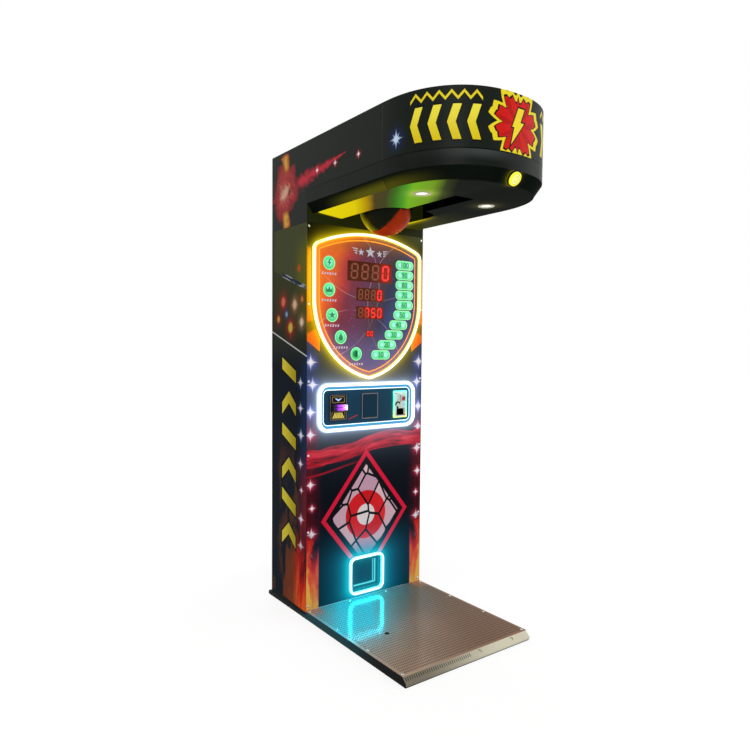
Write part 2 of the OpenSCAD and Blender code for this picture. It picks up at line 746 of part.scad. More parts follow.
module rear_panel() color("#1c2022") difference() {
    block(-inner_w + fit, inner_w - fit, cab_d - sheet, cab_d, skid_h + 2, overall_h);
    block(-door_w / 2 - door_gap, door_w / 2 + door_gap, cab_d - sheet - 1, cab_d + 1,
        door_z - door_gap, door_z + door_h + door_gap);
    for (i = [0:vents - 1]) translate([0, 0, vent_z + i * vent_pitch])
        block(-vent_half, vent_half, cab_d - sheet - 1, cab_d + 1, 0, vent_h);
    translate([inlet_x, 0, inlet_z]) block(-inlet_body[0] - fit, inlet_body[0] + fit,
        cab_d - sheet - 1, cab_d + 1, inlet_body[1] - fit, inlet_body[2] + fit);
    for (ring = [1:3], i = [0:6 * ring - 1]) let (a = 60 * i / ring, r = grille_pitch * ring)
        rod_y(grille_r, r * cos(a), cab_d - sheet - 1, cab_d + 1, speaker_z + r * sin(a));
}

// Outer knuckles, their leaf on the back panel and the pins
module door_hinges() color("#8e9294") for (h = hinge_heights) translate([hinge_x, hinge_y, door_z + h]) {
    for (k = [-1.5, 0.5]) translate([0, 0, k * knuckle_l]) {
        cylinder(r = knuckle_r, h = knuckle_l - knuckle_gap);
        block(0, leaf_w, cab_d - hinge_y, cab_d - hinge_y + leaf_t, 0, knuckle_l - knuckle_gap);
        block(0, knuckle_r, cab_d - hinge_y, 0, 0, knuckle_l - knuckle_gap);
    }
    translate([0, 0, -0.5 * knuckle_l - 1]) cylinder(r = pin_r, h = knuckle_l + 2);
}

module service_door() color("#1c2022") difference() {
    union() {
        block(-door_w / 2, door_w / 2, cab_d - sheet, cab_d, door_z, door_z + door_h);
        difference() {
            block(-door_w / 2, door_w / 2, cab_d - sheet - door_rim, cab_d - 1, door_z, door_z + door_h);
            block(-door_w / 2 + sheet, door_w / 2 - sheet, cab_d - door_rim - 2 * sheet, cab_d,
                door_z + sheet, door_z + door_h - sheet);
        }
        for (h = hinge_heights) translate([hinge_x, hinge_y, door_z + h - 0.5 * knuckle_l]) {
            cylinder(r = knuckle_r, h = knuckle_l - knuckle_gap);
            block(-knuckle_r - leaf_w, 2 - knuckle_r, cab_d - hinge_y, cab_d - hinge_y + leaf_t,
                0, knuckle_l - knuckle_gap);
            block(-knuckle_r, 0, cab_d - hinge_y, 0, 0, knuckle_l - knuckle_gap);
        }
    }
    for (h = hinge_heights) translate([hinge_x, hinge_y, door_z + h - knuckle_l])
        cylinder(r = pin_r + running, h = 2 * knuckle_l);
    rod_y(lock_r + running, lock_x, cab_d - 20, cab_d + 5, lock_z);
}

// Cam lock, drawn unlocked with its tongue upright
module door_lock() color("#c9ccce") {
    difference() {
        rod_y(lock_r, lock_x, lock_back, cab_d + 4, lock_z);
        block(lock_x - 1, lock_x + 1, cab_d - 4, cab_d + 5, lock_z - 5, lock_z + 5);
    }
    block(lock_x - lock_cam_w, lock_x + lock_cam_w, lock_back - lock_cam_t, lock_back,
        lock_z - lock_cam_w, lock_z + lock_cam_l);
}

module inlet_module() color("#131313") translate([inlet_x, 0, inlet_z]) difference() {
    union() {
        block(-inlet_flange[0], inlet_flange[0], cab_d, cab_d + 3, inlet_flange[1], inlet_flange[2]);
        block(-inlet_body[0], inlet_body[0], cab_d - inlet_body[3], cab_d + 1, inlet_body[1], inlet_body[2]);
    }
    block(-socket[0], socket[0], cab_d - well_d, cab_d + 4, socket[1], socket[2]);
    block(-rocker_well[0], rocker_well[0], cab_d - well_d, cab_d + 4, rocker_well[1], rocker_well[2]);
    rod_x(rocker_pin + running, -rocker_half - 3, rocker_half + 3, rocker_y, rocker_z);
}

// Mains switch, drawn switched on with its upper half pressed in
module power_rocker() color("#d02018") translate([inlet_x, rocker_y, inlet_z + rocker_z])
    rotate([rocker_tilt, 0, 0]) {
        rotate([90, 0, 90]) translate([0, 0, -rocker_half]) linear_extrude(2 * rocker_half)
            polygon(rocker_side);
        rod_x(rocker_pin, -rocker_half - 2, rocker_half + 2, 0, 0);
    }

// Inside the cabinet

module equipment_shelf() color("#44484b") {
    block(-inner_w, inner_w, tube + 2 * sheet, cab_d - 2 * sheet - tube, shelf_z, shelf_z + sheet);
}

module cash_box() color("#55595c") translate([slot_x, cash_box_y, shelf_z + sheet]) difference() {
    block(-cash_box_w / 2, cash_box_w / 2, 0, cash_box_l, 0, cash_box_h);
    block(sheet - cash_box_w / 2, cash_box_w / 2 - sheet, sheet, cash_box_l - sheet, sheet, cash_box_h + 1);
}

module control_box() color("#3d6b4a") translate([control_x, control_y, shelf_z + sheet])
    block(-control_w / 2, control_w / 2, 0, control_l, 0, control_h);

module speaker() color("#202020") translate([0, cab_d - sheet, speaker_z]) rotate([90, 0, 0]) rotate_extrude()
    polygon([[0, 4], [speaker_r - 24, 0], [speaker_r, 0], [speaker_r, 5], [speaker_r / 2, 24],
        [speaker_r / 2, 42], [0, 42]]);

at_front() base_frame();
at_front() deck_board();
at_front() tread_plate();
at_front() plate_screws();
at_front() upright_posts();
at_front() head_rails();
at_front() cross_bars();
at_front() left_side();
at_front() right_side();
at_front() front_panel();
at_front() panel_screws();
at_front() throat_panel();
at_front() head_left_side();
at_front() head_right_side();
at_front() nose_skin();
at_front() trim_band();
at_front() side_chamfers();
at_front() nose_chamfer();
at_front() belly_panel();
at_front() top_cover();
at_front() rear_panel();
at_front() door_hinges();
at_front() inlet_module();
at_front() power_rocker();
at_front() shield_backing();
at_front() shield_face();
at_front() shield_neon();
at_front() display_filters();
at_front() score_lenses();
at_front() coin_panel();
at_front() coin_neon();
at_front() note_bezel();
at_front() note_validator();
at_front() blank_plate();
at_front() coin_face();
at_front() coin_mech();
at_front() coin_return_button();
at_front() outlet_plate();
at_front() outlet_neon();
at_front() outlet_chute();
at_front() outlet_flap();
at_front() downlight_bezels();
at_front() downlight_lenses();
at_front() button_bezel();
at_front() start_button();
at_front() bearing_blocks();
at_front() arm_shaft();
at_front() punch_arm();
at_front() punch_ball();
at_front() speed_disc();
at_front() speed_sensor();
at_front() stop_bumper();
at_front() latch_solenoid();
at_front() latch_pin();
at_front() equipment_shelf();
at_front() cash_box();
at_front() control_box();
at_front() speaker();
at_front() service_door();
at_front() door_lock();
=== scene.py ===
# Looks for the punch tester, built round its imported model
import json
import math
from functools import reduce

import bmesh
import bpy
from mathutils import Matrix, Vector


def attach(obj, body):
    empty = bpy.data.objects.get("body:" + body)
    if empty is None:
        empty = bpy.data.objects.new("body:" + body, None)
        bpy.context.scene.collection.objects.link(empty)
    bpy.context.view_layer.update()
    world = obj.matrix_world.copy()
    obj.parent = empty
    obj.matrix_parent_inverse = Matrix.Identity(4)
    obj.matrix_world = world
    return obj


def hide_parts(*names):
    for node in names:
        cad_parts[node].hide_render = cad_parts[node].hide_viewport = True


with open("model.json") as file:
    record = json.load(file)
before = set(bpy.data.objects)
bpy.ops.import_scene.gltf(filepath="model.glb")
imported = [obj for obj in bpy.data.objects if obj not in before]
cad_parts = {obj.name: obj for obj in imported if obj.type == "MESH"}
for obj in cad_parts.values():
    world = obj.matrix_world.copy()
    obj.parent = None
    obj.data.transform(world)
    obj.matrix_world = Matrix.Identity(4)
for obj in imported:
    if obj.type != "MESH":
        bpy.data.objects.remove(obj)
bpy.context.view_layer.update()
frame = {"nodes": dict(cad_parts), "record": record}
frontY = 0.288276  # face of the front panel
bellyZ = 1.917  # underside of the head
skinX = 0.3512  # just inside the outer faces of the sides
black = (0.0, 0.0, 0.0, 1.0)
print("frame loaded")


# small tools

def linear(r, g, b):
    # 0 to 255 as seen on screen, to the value a shader takes
    def one(value):
        value /= 255
        return value / 12.92 if value <= 0.04045 else ((value + 0.055) / 1.055) ** 2.4
    return (one(r), one(g), one(b), 1.0)


def shaded(color, share, lift=0.0):
    return tuple(min(1.0, part * share + lift) for part in color[:3]) + (1.0,)


def mathStep(operation):
    # a method that puts its wire, and the other value if there is one, through a maths node
    return lambda wire, *others: wire.math(operation, *others)


class Wire:
    # an output socket that can be used in sums; they go into its own node tree
    def __init__(self, socket):
        self.socket, self.tree = socket, socket.id_data

    def math(self, operation, *others, clamp=False):
        node = addNode(self.tree, "Math", enumerate((self,) + others), operation=operation, use_clamp=clamp)
        return Wire(node.outputs[0])

    __add__, __sub__ = mathStep("ADD"), mathStep("SUBTRACT")
    __mul__, __truediv__ = mathStep("MULTIPLY"), mathStep("DIVIDE")
    abs, max, min, power = mathStep("ABSOLUTE"), mathStep("MAXIMUM"), mathStep("MINIMUM"), mathStep("POWER")
    below, above = mathStep("LESS_THAN"), mathStep("GREATER_THAN")
    floor, fract = mathStep("FLOOR"), mathStep("FRACT")
    sine, exponent = mathStep("SINE"), mathStep("EXPONENT")

    def __neg__(self):
        return self * -1.0

    def __rsub__(self, other):
        return (-self) + other

    def clip(self):
        return self.math("ADD", 0.0, clamp=True)

    def fade(self, reach):
        # 1 at nought, falling away over the reach
        return (self * (-1.0 / reach)).exponent()

    def ease(self, low, high, outLow=0.0, outHigh=1.0):
        # soft step from low to high; low may be the larger one
        node = addNode(self.tree, "MapRange", enumerate((self, low, high, outLow, outHigh)),
                       interpolation_type="SMOOTHSTEP")
        return Wire(node.outputs[0])


def feed(slot, value):
    if isinstance(value, Wire):
        slot.id_data.links.new(value.socket, slot)
    elif value is not None:
        slot.default_value = value


def addNode(tree, kind, values=(), **settings):
    # settings are the node's own, values go on its inputs
    node = tree.nodes.new("ShaderNode" + kind)
    for label, value in settings.items():
        setattr(node, label, value)
    for label, value in dict(values).items():
        feed(node.inputs[label], value)
    return node


def treeOf(*values):
    return next(value.tree for value in values if isinstance(value, Wire))


def mixColor(factor, low, high):
    node = addNode(treeOf(factor, low, high), "Mix", {0: factor, 6: low, 7: high}, data_type="RGBA")
    return Wire(node.outputs[2])


class Coat:
    # colour built up in layers, each one laid where its mask says
    def __init__(self, tone):
        self.tone = tone

    def lay(self, mask, tone):
        self.tone = mixColor(mask, self.tone, tone)


def sumSquares(*parts):
    squares = [part * part for part in parts]
    return reduce(Wire.__add__, squares)


def distanceOf(*parts):
    return sumSquares(*parts).math("SQRT")


def vector(x, y, z=0.0):
    return Wire(addNode(treeOf(x, y, z), "CombineXYZ", enumerate((x, y, z))).outputs[0])


def split(wire):
    return [Wire(out) for out in addNode(wire.tree, "SeparateXYZ", {0: wire}).outputs]


def place(tree):
    # position on the piece, in metres
    return Wire(addNode(tree, "TexCoord").outputs["Object"])


def facingOf(tree):
    # which way the surface faces on the piece
    return split(Wire(addNode(tree, "TexCoord").outputs["Normal"]))


def localPlace(tree):
    # place on the shape itself, in metres
    return split(Wire(addNode(tree, "UVMap").outputs[0]))[:2]


def noise(position, scale, detail=3.0, rough=0.55, distortion=0.0):
    return Wire(addNode(position.tree, "TexNoise", {
        "Vector": position, "Scale": scale, "Detail": detail, "Roughness": rough, "Distortion": distortion,
    }).outputs["Fac"])


def ramp(factor, stops):
    node = addNode(factor.tree, "ValToRGB", {0: factor})
    elements = node.color_ramp.elements
    while len(elements) < len(stops):
        elements.new(0.5)
    for element, (position, color) in zip(elements, stops):
        element.position, element.color = position, color
    return Wire(node.outputs[0])


def bump(height, strength, distance=0.001, normal=None):
    return Wire(addNode(height.tree, "Bump", {
        "Height": height, "Strength": strength, "Distance": distance, "Normal": normal}).outputs[0])


def makeGroup(name, inputs, build):
    # inputs hold each value's default, or None for a vector; build gives the outputs
    tree = bpy.data.node_groups.new(name, "ShaderNodeTree")

    def addSocket(label, side, isVector):
        kind = "NodeSocketVector" if isVector else "NodeSocketFloat"
        return tree.interface.new_socket(name=label, in_out=side, socket_type=kind)

    for label, value in inputs.items():
        socket = addSocket(label, "INPUT", value is None)
        if value is not None:
            socket.default_value = value
    start = tree.nodes.new("NodeGroupInput")
    results = build({label: Wire(start.outputs[label]) for label in inputs})
    for label, wire in results.items():
        addSocket(label, "OUTPUT", wire.socket.type == "VECTOR")
    end = tree.nodes.new("NodeGroupOutput")
    for label, wire in results.items():
        feed(end.inputs[label], wire)
    return tree


def useGroup(group, values):
    node = addNode(treeOf(*values.values()), "Group", values, node_tree=group)
    return {out.name: Wire(out) for out in node.outputs}


def newMaterial(name, **settings):
    # the material, its shader's inputs and the place on the piece
    material = bpy.data.materials.new(name)
    material.use_nodes = True
    pins = material.node_tree.nodes["Principled BSDF"].inputs
    for label, value in settings.items():
        pins[label.replace("_", " ")].default_value = value
    return material, pins, place(material.node_tree)


def rays(tree, *kinds):
    # 1 for rays of the named kinds
    path = addNode(tree, "LightPath")
    return reduce(Wire.max, [Wire(path.outputs["Is " + kind + " Ray"]) for kind in kinds])


def shine(pins, glow, cast=0.0, strength=1.0):
    # what the camera and mirrors see, and the share of it that lights the room
    seen = rays(glow.tree, "Camera", "Glossy")
    feed(pins["Emission Color"], glow)
    feed(pins["Emission Strength"], (seen * (1.0 - cast) + cast) * strength)


# shared surface effects

def buildGrain(pins):
    fine = noise(pins["Position"], pins["Scale"], 2.0, 0.6)
    broad = noise(pins["Position"], 5.0, 4.0, 0.6)
    rough = pins["Roughness"] + (fine - 0.5) * 0.10 + (broad - 0.5) * pins["Patches"]
    return {"Roughness": rough.clip(), "Patch": broad, "Normal": bump(fine, pins["Depth"], 0.0004)}


grain = makeGroup("fineGrain", {"Position": None, "Scale": 900.0, "Depth": 0.15, "Roughness": 0.4,
                                "Patches": 0.12}, buildGrain)


def buildScuffs(pins):
    # short scratches that lie mostly one way
    x, y, z = split(pins["Position"])
    stretched = vector(x * pins["Along X"], y * pins["Along Y"], z * pins["Along Z"])
    lines = noise(stretched, 1.0, 6.0, 0.7)
    where = noise(pins["Position"], 9.0, 2.0, 0.5)
    return {"Mask": lines.ease(0.60, 0.70) * where.ease(0.48, 0.62) * pins["Amount"]}


scuffs = makeGroup("scuffs", {"Position": None, "Along X": 60.0, "Along Y": 60.0, "Along Z": 600.0,
                              "Amount": 0.3}, buildScuffs)


def buildRoundBox(pins):
    # distance to a rounded rectangle, negative inside
    px = (pins["X"] - pins["Center X"]).abs() - pins["Half Width"] + pins["Corner"]
    pz = (pins["Z"] - pins["Center Z"]).abs() - pins["Half Height"] + pins["Corner"]
    ux, uz = px.max(0.0), pz.max(0.0)
    outside = distanceOf(ux, uz)
    return {"Distance": outside + px.max(pz).min(0.0) - pins["Corner"]}


roundBox = makeGroup("roundBoxDistance", {"X": 0.0, "Z": 0.0, "Center X": 0.0, "Center Z": 0.0,
                                          "Half Width": 0.1, "Half Height": 0.1, "Corner": 0.03},
                     buildRoundBox)

board = {"top": 1.853, "half": 0.320, "side": 0.323, "crown": 0.735, "curve": 0.389, "shoulder": 0.034}
coinUnit = {"x": 0.0, "z": 1.006, "half": 0.287, "halfHeight": 0.109, "corner": 0.048}
coinPlate = {"x": 0.200, "z": coinUnit["z"], "half": 0.0435, "halfHeight": 0.0695, "corner": 0.004}
outlet = {"x": -0.005, "z": 0.154, "half": 0.099, "halfHeight": 0.090, "corner": 0.030}
tubeWidth = 0.014
tubeBack, tubeFront = frontY - 0.006, frontY - 0.020
headPlan = {"half": 0.3525, "reach": 0.956, "straight": 0.579, "power": 2.3, "trimLow": 1.965,
            "trimTop": 2.027, "top": 2.250}
lamp = {"x": 0.183, "reach": 0.622, "radius": 0.036}  # under the head, reach forward of the front panel
startButton = {"reach": 0.940, "z": 1.942}


def buildShield(pins):
    # distance to the shield's outline, negative inside
    x, z = pins["X"].abs(), pins["Z"]
    r = board["shoulder"]
    crown = z - (board["top"] - board["crown"])
    top = distanceOf(x, crown) - board["crown"]
    low = (z - (board["top"] - board["side"])).min(0.0)
    across = x + (board["curve"] - board["half"])
    side = distanceOf(across, low) - board["curve"]
    ux, uz = (top + r).max(0.0), (side + r).max(0.0)
    return {"Distance": distanceOf(ux, uz) + top.max(side).min(-r)}


shieldGroup = makeGroup("shieldDistance", {"X": 0.0, "Z": 0.0}, buildShield)


def fourPoints(du, dv, low, high):
    # star with four points and drawn-in sides
    return (du.power(0.5) + dv.power(0.5)).ease(low, high)


def eightPoints(du, dv, upright, slanted):
    # the same star with four shorter rays between its points
    return fourPoints(du, dv, *upright).max(((du - dv).abs() * 6.0 + (du + dv)).ease(*slanted))


def buildStarColumn(pins):
    # stars one above the other, each a little out of line and of its own size
    step = pins["V"] / pins["Pitch"]
    dice = addNode(step.tree, "TexWhiteNoise", {"W": step.floor()}, noise_dimensions="1D")
    tone = split(Wire(dice.outputs["Color"]))
    size = pins["Size"] * (tone[0] * 0.5 + 0.75)
    du = (pins["U"] + (tone[1] - 0.5) * 0.020).abs() / size
    dv = ((step.fract() - 0.5) * pins["Pitch"] + (tone[2] - 0.5) * 0.016).abs() / size
    star = fourPoints(du, dv, 1.0, 0.55)
    cross = ((du - dv).abs() * 5.0 + (du + dv) * 1.5).ease(1.0, 0.3)
    return {"Rays": star.max(cross), "Halo": (sumSquares(du, dv) * -4.5).exponent()}


starColumn = makeGroup("starColumn", {"U": 0.0, "V": 0.0, "Pitch": 0.118, "Size": 0.05}, buildStarColumn)


def buildFlames(pins):
    # heat of licking flames: 1 at their root, 0 outside them
    warp = noise(vector(pins["U"] * 7.0, pins["V"] * 3.0 - 4.0), pins["Scale"], 4.0, 0.55, 0.6)
    tongues = noise(vector(pins["U"] * 16.0 + warp * 2.2, pins["V"] * 2.6), pins["Scale"], 3.0, 0.5)
    level = pins["V"] / pins["Height"]
    heat = (tongues * 1.9 + warp * 0.7 - 0.35) - level * 1.25
    return {"Heat": heat.clip()}


flames = makeGroup("flames", {"U": 0.0, "V": 0.0, "Height": 0.4, "Scale": 1.0}, buildFlames)


def tubeSpill(distance, near, far, share):
    # light that a tube throws on the sheet beside it: a bright band and a faint wide one
    out = distance.max(0.0)
    return out.fade(near) * (1.0 - share) + out.fade(far) * share


def boxDistance(x, z, unit):
    return useGroup(roundBox, {"X": x, "Z": z, "Center X": unit["x"], "Center Z": unit["z"],
                               "Half Width": unit["half"], "Half Height": unit["halfHeight"],
                               "Corner": unit["corner"]})["Distance"]


def shieldDistance(x, z):
    return useGroup(shieldGroup, {"X": x, "Z": z})["Distance"]


def addGrain(pins, spot, **values):
    # fine grain over the whole surface; gives its broad patches back
    surface = useGroup(grain, {"Position": spot, **values})
    feed(pins["Roughness"], surface["Roughness"])
    feed(pins["Normal"], surface["Normal"])
    return surface["Patch"]


fire = [(0.0, linear(20, 6, 6)), (0.25, linear(120, 14, 16)), (0.5, linear(205, 38, 24)),
        (0.75, linear(236, 96, 34)), (1.0, linear(250, 190, 70))]


def satin(name, color, roughness=0.42, scale=900.0, depth=0.12, specular=0.3, scratch=0.0, **more):
    # plain moulded or painted finish with fine grain
    material, pins, spot = newMaterial(name, Specular_IOR_Level=specular, **more)
    patch = addGrain(pins, spot, Scale=scale, Depth=depth, Roughness=roughness)
    tone = mixColor(patch.ease(0.3, 0.7), shaded(color, 0.82), shaded(color, 1.12))
    if scratch:
        worn = useGroup(scuffs, {"Position": spot, "Amount": scratch})["Mask"]
        tone = mixColor(worn, tone, shaded(color, 2.2, 0.03))
    feed(pins["Base Color"], tone)
    return material


skinColor = linear(22, 28, 22)


def printFinish(pins, spot, color, glow=None, outside=None):
    # the film over a print: fine grain, a few handling marks; the sheet's inner face is plain and dull
    if outside is not None:
        color = mixColor(outside, linear(24, 25, 25), color)
        if glow is not None:
            glow = mixColor(outside, black, glow)
    addGrain(pins, spot, Scale=700.0, Depth=0.10, Roughness=0.38, Patches=0.15)
    marks = useGroup(scuffs, {"Position": spot, "Amount": 0.10})["Mask"]
    feed(pins["Base Color"], mixColor(marks, color, linear(120, 122, 120)))
    if glow is not None:
        shine(pins, glow)


sideBursts = [
    {"at": 0.232, "z": 1.520, "size": 0.062, "color": linear(168, 40, 34), "core": linear(214, 120, 100)},
    {"at": 0.116, "z": 1.502, "size": 0.052, "color": linear(190, 138, 104), "core": linear(226, 190, 160)},
    {"at": 0.158, "z": 1.392, "size": 0.066, "color": linear(176, 52, 38), "core": linear(204, 186, 70)},
    {"at": 0.282, "z": 1.436, "size": 0.046, "color": linear(150, 34, 32), "core": linear(196, 160, 64)},
    {"at": 0.048, "z": 1.416, "size": 0.044, "color": linear(196, 154, 122), "core": linear(232, 206, 180)},
    {"at": 0.198, "z": 1.458, "size": 0.034, "color": linear(64, 88, 124), "core": linear(150, 170, 196)},
    {"at": 0.044, "z": 1.524, "size": 0.032, "color": linear(170, 86, 34), "core": linear(206, 140, 80)},
]


def sideMaterial():
    material, pins, spot = newMaterial("sidePrint", Specular_IOR_Level=0.012)
    x, y, z = split(spot)
    s = y - frontY  # distance behind the front panel
    navy, olive = linear(9, 20, 32), linear(72, 76, 48)
    color = Coat(mixColor(z.ease(1.15, 1.62), navy, olive))
    color.lay((s - 0.31).ease(0.0, 0.05) * 0.6, linear(10, 12, 14))
    # light of the board on the olive part near the front edge
    boardLight = s.ease(0.15, 0.0) * z.ease(1.32, 1.45) * z.ease(1.86, 1.70)
    color.lay(boardLight * 0.8, linear(112, 108, 18))
    # slanted pane of scattered bursts, under a band of light
    rise = z - s * 0.34
    pane = rise.ease(1.255, 1.262) * rise.ease(1.572, 1.566) * s.ease(0.345, 0.335)
    color.lay(pane * 0.5, linear(38, 38, 24))
    for burst in sideBursts:
        du, dv = (s - burst["at"]).abs() / burst["size"], (z - burst["z"]).abs() / (burst["size"] * 1.15)
        away = sumSquares(du, dv)
        shape = fourPoints(du, dv, 1.05, 0.75).max(away.ease(0.24, 0.14))
        color.lay((away * -2.4).exponent() * 0.45, burst["color"])
        color.lay(shape * 0.9, mixColor(away.ease(0.16, 0.02), burst["color"], burst["core"]))
    gleam = noise(vector(s * 9.0, rise * 60.0), 1.0, 2.0)
    band = (rise - 1.573).abs().ease(0.012, 0.009) * s.ease(0.25, 0.23) * s.above(0.002)
    color.lay(band, mixColor(gleam.ease(0.48, 0.62), linear(38, 54, 68), linear(190, 194, 196)))
    # small orange spark above it
    du, dv = (s - 0.075).abs() / 0.036, (z - 1.672).abs() / 0.042
    spark = eightPoints(du, dv, (1.0, 0.8), (1.1, 0.6))
    color.lay(spark, linear(196, 84, 26))
    # thin slanted line below it
    line = (rise - 1.255).abs().ease(0.0039, 0.0026)
    color.lay(line * 0.9, linear(214, 216, 214))
    # brown smoke behind the arrowheads, flames at the foot that turn brown to the rear
    brown = linear(98, 56, 32)
    smoke = noise(vector(s * 14.0, z * 6.0), 1.0, 3.0, 0.6, 0.8).ease(0.42, 0.62)
    smoke = smoke * s.ease(0.03, 0.10) * s.ease(0.31, 0.25) * z.ease(0.10, 0.20) * z.ease(0.88, 0.66)
    color.lay(smoke * 0.6, brown)
    fireField = useGroup(flames, {"U": s, "V": z - 0.02, "Height": 0.52, "Scale": 1.3})
    heat = (fireField["Heat"] * 1.1 - s.ease(0.13, 0.30) * 0.95).clip()
    burning = mixColor(s.ease(0.06, 0.14) * 0.85, ramp(heat * 0.75, fire), brown)
    color.lay(heat.ease(0.02, 0.30), burning)
    color.lay((z - s * 0.04).ease(0.034, 0.030), linear(18, 26, 27))
    # glowing haze and sparks near the front edge
    haze = s.ease(0.09, 0.0) * z.ease(1.30, 1.15) * z.ease(0.2, 0.5)
    tint = mixColor(z.ease(0.60, 0.84), linear(158, 34, 54), linear(38, 66, 120))
    color.lay(haze * z.ease(0.60, 0.84, 0.42, 0.34), tint)
    stars = useGroup(starColumn, {"U": s - 0.052, "V": z - 0.02, "Pitch": 0.131, "Size": 0.044})
    near = z.ease(1.24, 1.20) * z.ease(0.30, 0.36)
    color.lay(stars["Halo"] * near * 0.7, tint)
    color.lay(stars["Rays"] * near, linear(230, 224, 236))
    # column of yellow arrowheads with a dark rim
    pitch, first = 0.163, 0.288
    step = (z - first) / pitch
    v = step.fract() - 0.5
    odd = (step.floor() * 0.5).fract().above(0.2)
    u = (s - 0.172) / 0.070
    bend = u.abs() * 0.36 - 0.18
    arrow = (v + bend).abs()
    slant = (v - u * 0.20).abs()
    shape = arrow + (slant - arrow) * odd
    inZone = step.above(0.0) * step.below(6.0)
    body = shape.ease(0.185, 0.170) * u.abs().ease(1.0, 0.985) * inZone
    rim = shape.ease(0.245, 0.230) * u.abs().ease(1.12, 1.10) * inZone
    color.lay(rim, linear(12, 12, 12))
    gold = mixColor(u.ease(-1.0, 1.0), linear(176, 158, 34), linear(222, 206, 62))
    color.lay(body, gold)
    # light of the board on the front edge
    edge = s.ease(0.006, 0.0) * z.ease(1.25, 1.5) * z.ease(1.85, 1.7)
    glow = mixColor(edge, black, linear(140, 120, 10))
    printFinish(pins, spot, color.tone, glow, x.abs().above(skinX))
    return material


